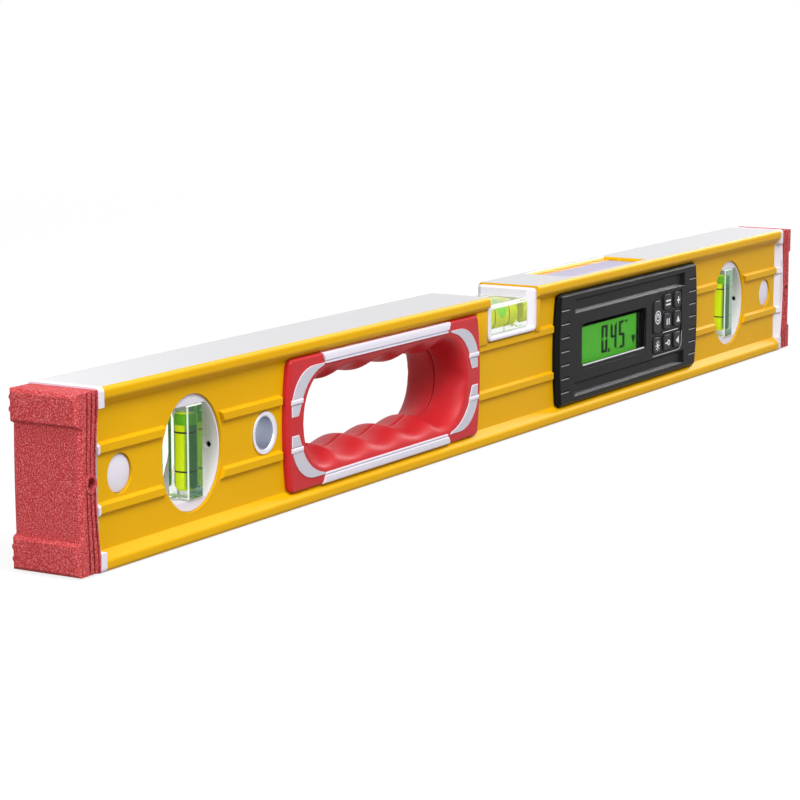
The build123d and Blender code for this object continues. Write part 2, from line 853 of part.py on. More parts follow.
with BuildPart() as module_housing:
    with BuildSketch(Plane.XZ.offset(wall_outer)):
        with Locations((module_x, mid_height)):
            add(barrel(module_length, seat_height, module_bow, module_round))
    extrude(amount=seat_thickness)
    with BuildSketch(Plane.XZ.offset(seat_front)):
        with Locations((module_x, mid_height)):
            add(barrel(module_length, over_height, module_bow, module_round))
    extrude(amount=panel_front - seat_front)
    plate_face = module_housing.faces().filter_by(Axis.Y).sort_by(Axis.Y)[0]
    chamfer(plate_face.edges(), length=module_edge)
    # Channels with sloping sides, above and below the screen
    with BuildSketch(Plane.XZ.offset(panel_front)):
        with Locations((module_x, mid_height)):
            with GridLocations(0, 2 * channel_centre, 1, 2):
                Rectangle(module_length - 2 * channel_inset, channel_width)
    extrude(amount=-channel_depth, taper=channel_taper, mode=Mode.SUBTRACT)
    # Ticks across both side strips
    with BuildSketch(Plane.XZ.offset(panel_front)):
        with Locations((module_x, mid_height)):
            with GridLocations(module_length - 2 * tick_inset - tick_length, tick_pitch, 2, tick_count):
                Rectangle(tick_length, tick_width)
    extrude(amount=-tick_depth, mode=Mode.SUBTRACT)
    # Box that reaches through the wall
    with BuildSketch(Plane.XZ.offset(box_back)):
        with Locations((module_x, mid_height)):
            RectangleRounded(box_fit_length, box_fit_height, box_round - slip_fit)
    extrude(amount=box_depth)
    with BuildSketch(Plane.XZ.offset(box_back)):
        with Locations((module_x, mid_height)):
            RectangleRounded(box_fit_length - 2 * box_wall, box_fit_height - 2 * box_wall, box_round / 2)
    extrude(amount=glass_front - box_back, mode=Mode.SUBTRACT)
    with BuildSketch(Plane.XZ.offset(box_back)):
        with Locations((module_x, mid_height)):
            with GridLocations(*pillar_spacing, 2, 2):
                Circle(pillar_diameter / 2)
                Circle(screw_shank / 2 + thread_fit, mode=Mode.SUBTRACT)
    extrude(amount=glass_front - box_back)
    # Screen opening with a seat for its window
    with BuildSketch(Plane.XZ.offset(panel_front)):
        with Locations((screen_x + lens_overrun / 2, screen_z)):
            RectangleRounded(
                screen_length + 2 * lens_margin + lens_overrun, screen_height + 2 * lens_margin, lens_margin
            )
    extrude(amount=lens_seat - panel_front, mode=Mode.SUBTRACT)
    # Shallow well round the keys
    with BuildSketch(Plane.XZ.offset(panel_front)):
        with Locations((key_x, mid_height + (top_row + bottom_row) / 2)):
            RectangleRounded(keypad_length + 2 * keypad_margin, keypad_height + 2 * keypad_margin, key_round)
    extrude(amount=-keypad_sink, mode=Mode.SUBTRACT)
    with BuildSketch(Plane.XZ.offset(panel_front)):
        with Locations((screen_x, screen_z)):
            RectangleRounded(screen_length, screen_height, screen_round)
        for column, row, tall in key_places.values():
            with Locations((key_x + column * key_pitch, mid_height + row)):
                RectangleRounded(key_width + 2 * snug_fit, tall + 2 * snug_fit, key_round + snug_fit)
    extrude(amount=glass_front - panel_front, mode=Mode.SUBTRACT)
finish(module_housing, "module_housing")

with BuildPart() as screen_window:
    with BuildSketch(Plane.XZ.offset(lens_seat)):
        with Locations((screen_x + lens_overrun / 2, screen_z)):
            RectangleRounded(
                screen_length + 2 * (lens_margin - snug_fit) + lens_overrun,
                screen_height + 2 * (lens_margin - snug_fit),
                lens_margin - snug_fit,
            )
    extrude(amount=lens_thickness)
finish(screen_window, "screen_window")


def screen_layer(front, thickness, name):
    with BuildPart() as layer:
        with BuildSketch(Plane.XZ.offset(front)):
            with Locations((screen_x, screen_z)):
                Rectangle(screen_length + 2 * lens_margin, screen_height + 2 * lens_margin)
        extrude(amount=-thickness)
    finish(layer, name)


light_front = glass_front - glass_thickness
screen_layer(glass_front, glass_thickness, "screen_glass")
screen_layer(light_front, light_thickness, "backlight")

board_front = light_front - light_thickness
board_length = box_fit_length - 2 * box_wall - board_margin
board_height = box_fit_height - 2 * box_wall - board_margin
with BuildPart() as circuit_board:
    with BuildSketch(Plane.XZ.offset(board_front)):
        with Locations((module_x, mid_height)):
            Rectangle(board_length, board_height)
            with GridLocations(*pillar_spacing, 2, 2):
                Circle(pillar_diameter / 2 + slip_fit, mode=Mode.SUBTRACT)
    extrude(amount=-board_thickness)
finish(circuit_board, "circuit_board")

# Keys, each with a lip behind the housing and a rubber mat below them
key_back = glass_front - key_lip_thickness
for name, (column, row, tall) in key_places.items():
    with BuildPart() as key:
        with BuildSketch(Plane.XZ.offset(glass_front)):
            with Locations((key_x + column * key_pitch, mid_height + row)):
                RectangleRounded(key_width, tall, key_round)
        extrude(amount=panel_front + key_proud - glass_front)
        chamfer(key.faces().sort_by(Axis.Y)[0].edges(), length=key_proud)
        with BuildSketch(Plane.XZ.offset(key_back)):
            with Locations((key_x + column * key_pitch, mid_height + row)):
                RectangleRounded(key_width + 2 * key_lip, tall + 2 * key_lip, key_round)
        extrude(amount=key_lip_thickness)
    finish(key, name)

mat_front = key_back - key_travel - snug_fit / 2
mat_length = keypad_length + 2 * mat_margin
mat_height = keypad_height + 2 * mat_margin
with BuildPart() as keypad_mat:
    with BuildSketch(Plane.XZ.offset(board_front)):
        with Locations((key_x, mid_height + (top_row + bottom_row) / 2)):
            RectangleRounded(mat_length, mat_height, mat_margin)
    extrude(amount=mat_front - board_front)
finish(keypad_mat, "keypad_mat")

# Back housing with its seal, a battery opening and a cover
seal_back = box_back - seal_thickness
with BuildPart() as module_seal:
    with BuildSketch(Plane.XZ.offset(seal_back)):
        with Locations((module_x, mid_height)):
            RectangleRounded(box_fit_length, box_fit_height, box_round - slip_fit)
            RectangleRounded(
                box_fit_length - 2 * box_wall,
                box_fit_height - 2 * box_wall,
                box_round / 2,
                mode=Mode.SUBTRACT,
            )
    extrude(amount=seal_thickness)
finish(module_seal, "module_seal")

rear_x = rear_plane.x_dir.X * module_x
cell_x = module_x + cell_offset
cover_x = rear_plane.x_dir.X * cell_x
cover_spacing = (cover_length - 2 * cover_screw_margin, 0)

with BuildPart() as module_back:
    with BuildSketch(rear_plane.offset(wall_outer)):
        with Locations((rear_x, mid_height)):
            add(barrel(module_length, seat_height, module_bow, module_round))
    extrude(amount=seat_thickness)
    with BuildSketch(rear_plane.offset(seat_front)):
        with Locations((rear_x, mid_height)):
            add(barrel(module_length, over_height, module_bow, module_round))
    extrude(amount=panel_front - seat_front)
    rear_face = module_back.faces().filter_by(Axis.Y).sort_by(Axis.Y)[-1]
    chamfer(rear_face.edges(), length=module_edge)
    with BuildSketch(rear_plane.offset(-seal_back)):
        with Locations((rear_x, mid_height)):
            RectangleRounded(box_fit_length, box_fit_height, box_round - slip_fit)
    extrude(amount=wall_outer + seal_back)
    with BuildSketch(rear_plane.offset(-seal_back)):
        with Locations((rear_x, mid_height)):
            RectangleRounded(box_fit_length - 2 * box_wall, box_fit_height - 2 * box_wall, box_round / 2)
    extrude(amount=wall_outer + seal_back, mode=Mode.SUBTRACT)
    with BuildSketch(rear_plane.offset(-seal_back)):
        with Locations((rear_x, mid_height)):
            with GridLocations(*pillar_spacing, 2, 2):
                Circle(pillar_diameter / 2)
    extrude(amount=wall_outer + seal_back)
    with BuildSketch(rear_plane.offset(wall_outer)):
        with Locations((cover_x, mid_height)):
            with GridLocations(*cover_spacing, 2, 1):
                Circle(pillar_diameter / 2)
    extrude(amount=-boss_depth)
    # Cover recess with a ledge, and the battery opening inside it
    with BuildSketch(rear_plane.offset(panel_front)):
        with Locations((cover_x, mid_height)):
            RectangleRounded(cover_length + 2 * snug_fit, cover_height + 2 * snug_fit, cover_round)
    extrude(amount=-cover_thickness, mode=Mode.SUBTRACT)
    with BuildSketch(rear_plane.offset(panel_front)):
        with Locations((cover_x, mid_height)):
            Rectangle(cover_length - 2 * cover_screw_margin - screw_head, cover_height - 2 * cover_ledge)
    extrude(amount=wall_outer - panel_front, mode=Mode.SUBTRACT)
    with BuildSketch(rear_plane.offset(panel_front)):
        with Locations((rear_x, mid_height)):
            with GridLocations(*pillar_spacing, 2, 2):
                Circle(screw_head / 2 + snug_fit)
    extrude(amount=-screw_head_depth, mode=Mode.SUBTRACT)
    with BuildSketch(rear_plane.offset(panel_front)):
        with Locations((rear_x, mid_height)):
            with GridLocations(*pillar_spacing, 2, 2):
                Circle(screw_shank / 2 + thread_fit)
    extrude(amount=-section_width, mode=Mode.SUBTRACT)
    with BuildSketch(rear_plane.offset(panel_front)):
        with Locations((cover_x, mid_height)):
            with GridLocations(*cover_spacing, 2, 1):
                Circle(screw_shank / 2 + thread_fit)
    extrude(amount=wall_outer - panel_front - boss_depth, mode=Mode.SUBTRACT)
finish(module_back, "module_back")

# Battery cover with its screws
cover_back = panel_front - cover_thickness
screw_seat = panel_front - screw_head_depth
with BuildPart() as battery_cover:
    with BuildSketch(rear_plane.offset(cover_back)):
        with Locations((cover_x, mid_height)):
            RectangleRounded(cover_length, cover_height, cover_round - snug_fit)
    extrude(amount=cover_thickness)
    cover_face = battery_cover.faces().sort_by(Axis.Y)[-1]
    chamfer(cover_face.edges(), length=cover_edge)
    with BuildSketch(rear_plane.offset(panel_front)):
        with Locations((cover_x, mid_height)):
            with GridLocations(grip_line_pitch, 0, grip_line_count, 1):
                SlotOverall(cover_height / 2, tick_width, rotation=90)
    extrude(amount=-tick_depth, mode=Mode.SUBTRACT)
    with BuildSketch(rear_plane.offset(panel_front)):
        with Locations((cover_x, mid_height)):
            with GridLocations(*cover_spacing, 2, 1):
                Circle(screw_head / 2 + snug_fit)
    extrude(amount=-screw_head_depth, mode=Mode.SUBTRACT)
    with BuildSketch(rear_plane.offset(cover_back)):
        with Locations((cover_x, mid_height)):
            with GridLocations(*cover_spacing, 2, 1):
                Circle(screw_shank / 2 + thread_fit)
    extrude(amount=cover_thickness, mode=Mode.SUBTRACT)
finish(battery_cover, "battery_cover")


def screw_set(centre_x, spacing, rows, shank_end, name):
    with BuildPart() as screws:
        with BuildSketch(rear_plane.offset(screw_seat)):
            with Locations((centre_x, mid_height)):
                with GridLocations(*spacing, 2, rows):
                    Circle(screw_head / 2)
        extrude(amount=screw_head_depth)
        with BuildSketch(rear_plane.offset(screw_seat + screw_head_depth / 2)):
            with Locations((centre_x, mid_height)):
                with GridLocations(*spacing, 2, rows):
                    RegularPolygon(screw_shank / 2, 6)
        extrude(amount=screw_head_depth, mode=Mode.SUBTRACT)
        with BuildSketch(rear_plane.offset(screw_seat)):
            with Locations((centre_x, mid_height)):
                with GridLocations(*spacing, 2, rows):
                    Circle(screw_shank / 2)
        extrude(amount=shank_end - screw_seat)
    finish(screws, name)


screw_set(cover_x, cover_spacing, 1, wall_outer - boss_depth + screw_head_depth, "cover_screws")
screw_set(rear_x, pillar_spacing, 2, -box_back - screw_reach, "housing_screws")

# Two cells in a holder on the back of the board, with contact plates at their ends
board_back = board_front - board_thickness
cell_half = cell_length / 2
holder_half = cell_half + contact_thickness + holder_end
holder_height = cell_pitch + cell_diameter + holder_end
with BuildPart() as battery_holder:
    with BuildSketch(rear_plane.offset(-board_back)):
        with Locations((cover_x, mid_height)):
            Rectangle(2 * holder_half, holder_height)
    extrude(amount=cell_y + board_back)
    with BuildSketch(Plane.YZ.offset(cell_x - cell_half - contact_thickness)):
        with Locations((cell_y, mid_height)):
            with GridLocations(0, cell_pitch, 1, 2):
                Circle(cell_diameter / 2 + thread_fit)
    extrude(amount=cell_length + 2 * contact_thickness, mode=Mode.SUBTRACT)
finish(battery_holder, "battery_holder")


def cell(height, turn, name):
    with BuildPart() as body:
        with BuildSketch(Plane.YZ.offset(cell_x - turn * cell_half)):
            with Locations((cell_y, height)):
                Circle(cell_diameter / 2)
        extrude(amount=turn * (cell_length - nub_length))
        with BuildSketch(Plane.YZ.offset(cell_x + turn * cell_half)):
            with Locations((cell_y, height)):
                Circle(nub_diameter / 2)
        extrude(amount=-turn * 2 * nub_length)
    finish(body, name)


cell(mid_height + cell_pitch / 2, 1, "battery_upper")
cell(mid_height - cell_pitch / 2, -1, "battery_lower")

with BuildPart() as battery_contacts:
    for start in (cell_x - cell_half - contact_thickness, cell_x + cell_half):
        with BuildSketch(Plane.YZ.offset(start)):
            with Locations((cell_y, mid_height)):
                with GridLocations(0, cell_pitch, 1, 2):
                    Rectangle(contact_width, contact_width)
        extrude(amount=contact_thickness)
finish(battery_contacts, "battery_contacts")

# Tilt sensor and buzzer on the back of the board
with BuildPart() as tilt_sensor:
    with BuildSketch(rear_plane.offset(-board_back)):
        with Locations((rear_plane.x_dir.X * (module_start + sensor_inset), mid_height)):
            Rectangle(sensor_length, sensor_height)
    extrude(amount=sensor_depth)
    chamfer(tilt_sensor.edges().filter_by(Axis.Y), length=vial_round)
finish(tilt_sensor, "tilt_sensor")

with BuildPart() as buzzer:
    with BuildSketch(rear_plane.offset(-board_back)):
        with Locations((rear_plane.x_dir.X * (module_end - buzzer_inset), mid_height)):
            Circle(buzzer_diameter / 2)
    extrude(amount=buzzer_depth)
    with BuildSketch(rear_plane.offset(buzzer_depth - board_back)):
        with Locations((rear_plane.x_dir.X * (module_end - buzzer_inset), mid_height)):
            Circle(vial_round)
    extrude(amount=-vial_round, mode=Mode.SUBTRACT)
finish(buzzer, "buzzer")

# Second display in the top face: a pane over a glass in a carrier that stands on the module
pane_bottom = section_height - pane_sink - pane_thickness
carrier_bottom = mid_height + box_fit_height / 2
carrier_top = pane_bottom - top_glass_thickness
carrier_length = top_length - 2 * carrier_wall
carrier_width = 2 * (wall_inner - slip_fit)

with BuildPart() as top_pane:
    with BuildSketch(Plane.XY.offset(pane_bottom)):
        with Locations((top_x, 0)):
            Rectangle(top_length - 2 * snug_fit, top_width - 2 * snug_fit)
    extrude(amount=pane_thickness)
finish(top_pane, "top_pane")

with BuildPart() as top_glass:
    with BuildSketch(Plane.XY.offset(carrier_top)):
        with Locations((top_x, 0)):
            Rectangle(carrier_length, 2 * (wall_inner - cavity_round))
    extrude(amount=top_glass_thickness)
finish(top_glass, "top_glass")

with BuildPart() as top_carrier:
    with BuildSketch(Plane.XY.offset(carrier_bottom)):
        with Locations((top_x, 0)):
            Rectangle(carrier_length, carrier_width)
    extrude(amount=carrier_top - carrier_bottom)
    with BuildSketch(Plane.XY.offset(carrier_bottom + carrier_wall)):
        with Locations((top_x, 0)):
            Rectangle(carrier_length - 2 * carrier_wall, carrier_width - 2 * carrier_wall)
    extrude(amount=carrier_top - carrier_bottom - carrier_wall, mode=Mode.SUBTRACT)
finish(top_carrier, "top_carrier")
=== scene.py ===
import json
import math

import bmesh
import bpy
from mathutils import Matrix, Vector


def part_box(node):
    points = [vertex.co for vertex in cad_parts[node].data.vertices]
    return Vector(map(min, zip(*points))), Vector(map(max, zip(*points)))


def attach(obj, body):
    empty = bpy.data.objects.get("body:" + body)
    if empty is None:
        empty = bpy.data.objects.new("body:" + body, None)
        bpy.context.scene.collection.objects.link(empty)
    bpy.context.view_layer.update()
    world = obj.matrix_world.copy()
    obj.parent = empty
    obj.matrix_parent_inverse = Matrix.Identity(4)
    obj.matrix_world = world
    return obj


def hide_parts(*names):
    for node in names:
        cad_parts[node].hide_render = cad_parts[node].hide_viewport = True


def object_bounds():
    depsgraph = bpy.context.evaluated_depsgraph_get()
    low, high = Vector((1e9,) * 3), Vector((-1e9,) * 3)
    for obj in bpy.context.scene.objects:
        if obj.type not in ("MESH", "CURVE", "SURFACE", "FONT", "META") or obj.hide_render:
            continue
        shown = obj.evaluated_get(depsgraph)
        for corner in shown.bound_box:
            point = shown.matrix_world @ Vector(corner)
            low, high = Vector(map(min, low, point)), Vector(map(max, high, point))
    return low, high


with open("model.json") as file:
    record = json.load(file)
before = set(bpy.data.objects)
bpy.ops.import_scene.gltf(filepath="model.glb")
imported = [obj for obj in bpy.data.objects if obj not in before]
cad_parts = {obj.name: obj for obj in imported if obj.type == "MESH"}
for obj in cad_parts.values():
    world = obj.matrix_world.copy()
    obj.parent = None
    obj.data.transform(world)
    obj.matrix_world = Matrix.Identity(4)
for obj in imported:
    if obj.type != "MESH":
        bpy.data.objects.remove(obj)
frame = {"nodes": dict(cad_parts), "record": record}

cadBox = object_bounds()
nodes = frame["nodes"]
record = frame["record"]
bodyOf = {node: body for body, members in record["behaviour"]["bodies"].items() for node in members}
slotOf = {row["node"]: row["material_slot"] for row in record["subparts"]}
mm = 0.001
print("frame loaded,", len(nodes), "nodes")


def shade(red, green, blue):  # screen colour, 0 to 255, to a linear one
    def linear(part):
        part = part / 255
        return part / 12.92 if part <= 0.04045 else ((part + 0.055) / 1.055) ** 2.4
    return (linear(red), linear(green), linear(blue), 1.0)


def setInputs(node, values):
    for key, value in values.items():
        node.inputs[key].default_value = value


def addNode(tree, kind, values=None, **settings):
    node = tree.nodes.new(kind)
    for key, value in settings.items():
        setattr(node, key, value)
    setInputs(node, values or {})
    return node


def newGroup(name, inputs, outputs):
    tree = bpy.data.node_groups.new(name, "ShaderNodeTree")
    for label, kind, value in inputs:
        socket = tree.interface.new_socket(label, in_out="INPUT", socket_type=kind)
        socket.default_value = value
    for label, kind in outputs:
        tree.interface.new_socket(label, in_out="OUTPUT", socket_type=kind)
    return tree, addNode(tree, "NodeGroupInput"), addNode(tree, "NodeGroupOutput")


number = "NodeSocketFloat"
colour = "NodeSocketColor"
bevelSamples = 4  # rays of each rounded-edge node


def wireUp(tree, *rows):
    for giver, output, taker, entry in rows:
        tree.links.new(giver.outputs[output], taker.inputs[entry])


# Moulded or sprayed skin: a fine grain with slow drifts of tint and gloss
def makeSkinGroup():
    tree, given, out = newGroup(
        "mouldedSkin",
        [
            ("Colour", colour, (0.5, 0.5, 0.5, 1)),
            ("Drift Colour", colour, (0.4, 0.4, 0.4, 1)),
            ("Grain Scale", number, 900),
            ("Drift Scale", number, 30),
            ("Roughness", number, 0.4),
            ("Roughness Drift", number, 0.1),
        ],
        [("Colour", colour), ("Roughness", number), ("Height", number)],
    )
    place = addNode(tree, "ShaderNodeTexCoord")
    grain = addNode(tree, "ShaderNodeTexNoise", {"Detail": 3.0, "Roughness": 0.6})
    drift = addNode(tree, "ShaderNodeTexNoise", {"Detail": 2.0, "Roughness": 0.5})
    blend = addNode(tree, "ShaderNodeMix", data_type="RGBA")
    gloss = addNode(tree, "ShaderNodeMath", operation="MULTIPLY_ADD")
    wireUp(
        tree,
        (place, "Object", grain, "Vector"), (given, "Grain Scale", grain, "Scale"),
        (place, "Object", drift, "Vector"), (given, "Drift Scale", drift, "Scale"),
        (drift, "Fac", blend, "Factor"), (given, "Colour", blend, "A"), (given, "Drift Colour", blend, "B"),
        (grain, "Fac", gloss, 0), (given, "Roughness Drift", gloss, 1), (given, "Roughness", gloss, 2),
        (blend, "Result", out, "Colour"), (gloss, "Value", out, "Roughness"), (grain, "Fac", out, "Height"),
    )
    return tree


# Rubbed edges, lightened in patches as wear and as a painted highlight: the angle between the surface and its
# rounded neighbourhood
def makeWearAndSheenGroup():
    tree, given, out = newGroup(
        "rubbedEdgeAndSheen",
        [("Width", number, 0.0005), ("Amount", number, 0.5), ("Patch Scale", number, 120)],
        [("Mask", number)],
    )
    place = addNode(tree, "ShaderNodeTexCoord")
    surface = addNode(tree, "ShaderNodeNewGeometry")
    rounded = addNode(tree, "ShaderNodeBevel", samples=bevelSamples)
    meet = addNode(tree, "ShaderNodeVectorMath", operation="DOT_PRODUCT")
    edge = addNode(tree, "ShaderNodeMapRange", {"From Min": 0.98, "From Max": 0.8})
    patch = addNode(tree, "ShaderNodeTexNoise", {"Detail": 4.0})
    patchy = addNode(tree, "ShaderNodeMapRange", {"From Min": 0.35, "From Max": 0.65})
    both = addNode(tree, "ShaderNodeMath", operation="MULTIPLY")
    amount = addNode(tree, "ShaderNodeMath", operation="MULTIPLY")
    wireUp(
        tree,
        (given, "Width", rounded, "Radius"), (rounded, "Normal", meet, 0), (surface, "Normal", meet, 1),
        (place, "Object", patch, "Vector"), (given, "Patch Scale", patch, "Scale"),
        (meet, "Value", edge, "Value"), (patch, "Fac", patchy, "Value"),
        (edge, "Result", both, 0), (patchy, "Result", both, 1),
        (both, "Value", amount, 0), (given, "Amount", amount, 1), (amount, "Value", out, "Mask"),
    )
    return tree


skinGroup = makeSkinGroup()
wearAndSheenGroup = makeWearAndSheenGroup()


def startMaterial(name):
    material = bpy.data.materials.new(name)
    material.use_nodes = True
    tree = material.node_tree
    return material, tree, tree.nodes["Principled BSDF"]


# One tint laid over another through a mask
def layTint(tree, under, tint, mask):
    mix = addNode(tree, "ShaderNodeMix", {"B": tint}, data_type="RGBA")
    tree.links.new(mask, mix.inputs["Factor"])
    tree.links.new(under, mix.inputs["A"])
    return mix.outputs["Result"]


# A skin material: two tints, grain, gloss and rubbed edges, whose lighter tint is partly a painted highlight
skinDefaults = dict(grainScale=2500, driftScale=25, roughDrift=0.1, bump=0.00001, metal=0.0, specular=0.5,
                    glow=0.0)


def makeSkin(name, look):
    look = {**skinDefaults, **look}
    material, tree, shader = startMaterial(name)
    skin = addNode(tree, "ShaderNodeGroup", {
        "Colour": shade(*look["colour"]), "Drift Colour": shade(*look["drift"]),
        "Grain Scale": look["grainScale"], "Drift Scale": look["driftScale"],
        "Roughness": look["rough"], "Roughness Drift": look["roughDrift"],
    }, node_tree=skinGroup)
    paint = skin.outputs["Colour"]
    for tint, low, high in look.get("specks", ()):
        speck = addNode(tree, "ShaderNodeMapRange", {"From Min": low, "From Max": high})
        wireUp(tree, (skin, "Height", speck, "Value"))
        paint = layTint(tree, paint, shade(*tint), speck.outputs["Result"])
    if "wornAndSheenColour" in look:
        wearAndSheen = addNode(tree, "ShaderNodeGroup", {"Width": look["wornAndSheenWidth"], "Amount": look["wornAndSheenAmount"]},
                       node_tree=wearAndSheenGroup)
        # painted highlight: the edges take a lighter tint, partly as wear and partly for light catching them
        paint = layTint(tree, paint, shade(*look["wornAndSheenColour"]), wearAndSheen.outputs["Mask"])
    tree.links.new(paint, shader.inputs["Base Color"])
    if "light" in look:  # its own light, where it isn't the paint that glows
        shader.inputs["Emission Color"].default_value = shade(*look["light"])
    elif look["glow"]:
        tree.links.new(paint, shader.inputs["Emission Color"])
    bump = addNode(tree, "ShaderNodeBump", {"Strength": 1.0, "Distance": look["bump"]})
    wireUp(tree, (skin, "Roughness", shader, "Roughness"), (skin, "Height", bump, "Height"),
           (bump, "Normal", shader, "Normal"))
    if "edgeRound" in look:
        rounded = addNode(tree, "ShaderNodeBevel", {"Radius": look["edgeRound"]}, samples=bevelSamples)
        wireUp(tree, (rounded, "Normal", bump, "Normal"))
    setInputs(shader, {"Emission Strength": look["glow"], "Metallic": look["metal"],
                       "Specular IOR Level": look["specular"]})
    return material, tree, shader


# Tints are screen colours, and bumps and the widths of worn and highlighted edges are in metres
plainLooks = {
    "capRubber": dict(colour=(218, 80, 82), drift=(206, 64, 68), grainScale=1900, rough=0.7, bump=0.0009,
                      specular=0.2, specks=(((240, 138, 138), 0.52, 0.66), ((158, 36, 44), 0.46, 0.34))),
    "gripRubber": dict(colour=(196, 34, 40), drift=(184, 26, 34), grainScale=1800, rough=0.42, bump=0.00003,
                       roughDrift=0.12, specular=0.3),
    "whitePlastic": dict(colour=(230, 226, 236), drift=(222, 218, 230), grainScale=1500, rough=0.4,
                         bump=0.00003, specular=0.25),
    # painted shade: a greyer copy of the white plastic for the brackets' flat fronts
    "bracketShadedWhite": dict(colour=(204, 202, 211), drift=(192, 190, 201), grainScale=1500, rough=0.45,
                        bump=0.00003, specular=0.2),
    # painted highlight: the black plastics get lighter grey edges, partly wear and partly for light catching
    # them
    "blackPlastic": dict(colour=(22, 22, 24), drift=(16, 16, 18), grainScale=2600, rough=0.3, bump=0.00006,
                         specular=0.06, edgeRound=0.0005, wornAndSheenColour=(78, 78, 82), wornAndSheenWidth=0.0004,
                         wornAndSheenAmount=0.5),
    "keyPlastic": dict(colour=(22, 22, 24), drift=(15, 15, 17), grainScale=3000, rough=0.3, bump=0.00003,
                       specular=0.12, edgeRound=0.0006, wornAndSheenColour=(110, 110, 116), wornAndSheenWidth=0.0005,
                       wornAndSheenAmount=0.5),
    "sleeveSteel": dict(colour=(228, 231, 240), drift=(206, 210, 222), grainScale=900, rough=0.34,
                        bump=0.00002, metal=1.0),
    "screwSteel": dict(colour=(165, 166, 170), drift=(140, 141, 146), grainScale=1200, rough=0.3,
                       bump=0.00003, metal=1.0),
    "boardGreen": dict(colour=(20, 95, 55), drift=(14, 80, 46), grainScale=700, rough=0.4, bump=0.00005),
    "matRubber": dict(colour=(34, 34, 36), drift=(26, 26, 28), grainScale=1200, rough=0.6, bump=0.00008,
                      specular=0.1),
    "sealRubber": dict(colour=(30, 30, 30), drift=(24, 24, 24), grainScale=1500, rough=0.6, bump=0.00006,
                       specular=0.1),
    "holderPlastic": dict(colour=(40, 40, 42), drift=(30, 30, 32), grainScale=1600, rough=0.5, bump=0.00006,
                          specular=0.2),
    "cellSleeve": dict(colour=(150, 152, 158), drift=(130, 132, 140), grainScale=900, rough=0.3,
                       bump=0.00002),
    "contactBrass": dict(colour=(208, 190, 150), drift=(190, 170, 130), grainScale=1500, rough=0.25,
                         bump=0.00002, metal=1.0),
    "sensorCan": dict(colour=(190, 192, 196), drift=(170, 172, 178), grainScale=1200, rough=0.32,
                      bump=0.00002, metal=1.0),
    "ringInk": dict(colour=(16, 44, 22), drift=(10, 32, 16), rough=0.4),
    "markInk": dict(colour=(236, 236, 240), drift=(220, 220, 226), rough=0.5, specular=0.2),
    # painted highlight: light grey for lit edges on the module
    "edgeGrey": dict(colour=(176, 176, 182), drift=(150, 150, 156), rough=0.45, specular=0.2),
    "digitInk": dict(colour=(8, 30, 8), drift=(5, 22, 5), rough=0.5, specular=0.05),
    "lightGuide": dict(colour=(170, 230, 140), drift=(150, 215, 120), grainScale=1200, rough=0.3,
                       bump=0.00002),
    # painted highlight: a pale white for the blocks' rounded edges
    "paintedEdgeGlint": dict(colour=(238, 242, 236), drift=(222, 232, 220), grainScale=1800, rough=0.5,
                        bump=0.00003, specular=0.3),
    # painted reflection: the resting top window is pale and glows a little, standing in for the bright
    # surround it reflects
    "reflectionPaintedDisplay": dict(colour=(226, 221, 234), drift=(214, 210, 226), grainScale=2000, rough=0.35,
                           specular=0.2, glow=0.3),
    "litDisplay": dict(colour=(40, 92, 24), drift=(36, 86, 22), rough=0.4, specular=0.05,
                       light=(66, 166, 24), glow=0.62),
    # painted light: the bubbles glow a little
    "airBubble": dict(colour=(128, 192, 40), drift=(92, 172, 34), grainScale=300, rough=0.2, specular=0.1,
                      glow=0.3),
}
materials = {name: makeSkin(name, look)[0] for name, look in plainLooks.items()}
print("plain skins made,", len(materials))


# Powder-coated profile with milled faces on top and underneath, where the cutter leaves fine lines
# The coat's edges are lightened in patches, partly as wear and partly as a painted highlight on the rolls
profileLook = dict(
    coat=dict(colour=(229, 175, 4), drift=(222, 165, 2), grainScale=1500, rough=0.4, bump=0.00003,
              specular=0.09, wornAndSheenColour=(248, 212, 70), wornAndSheenWidth=0.0006, wornAndSheenAmount=0.35),
    milled=(212, 211, 214), milledRough=0.34, faceTop=0.06295, faceBottom=0.00005,
    cutterScale=(900, 30, 30), cutterDepth=0.12,
)


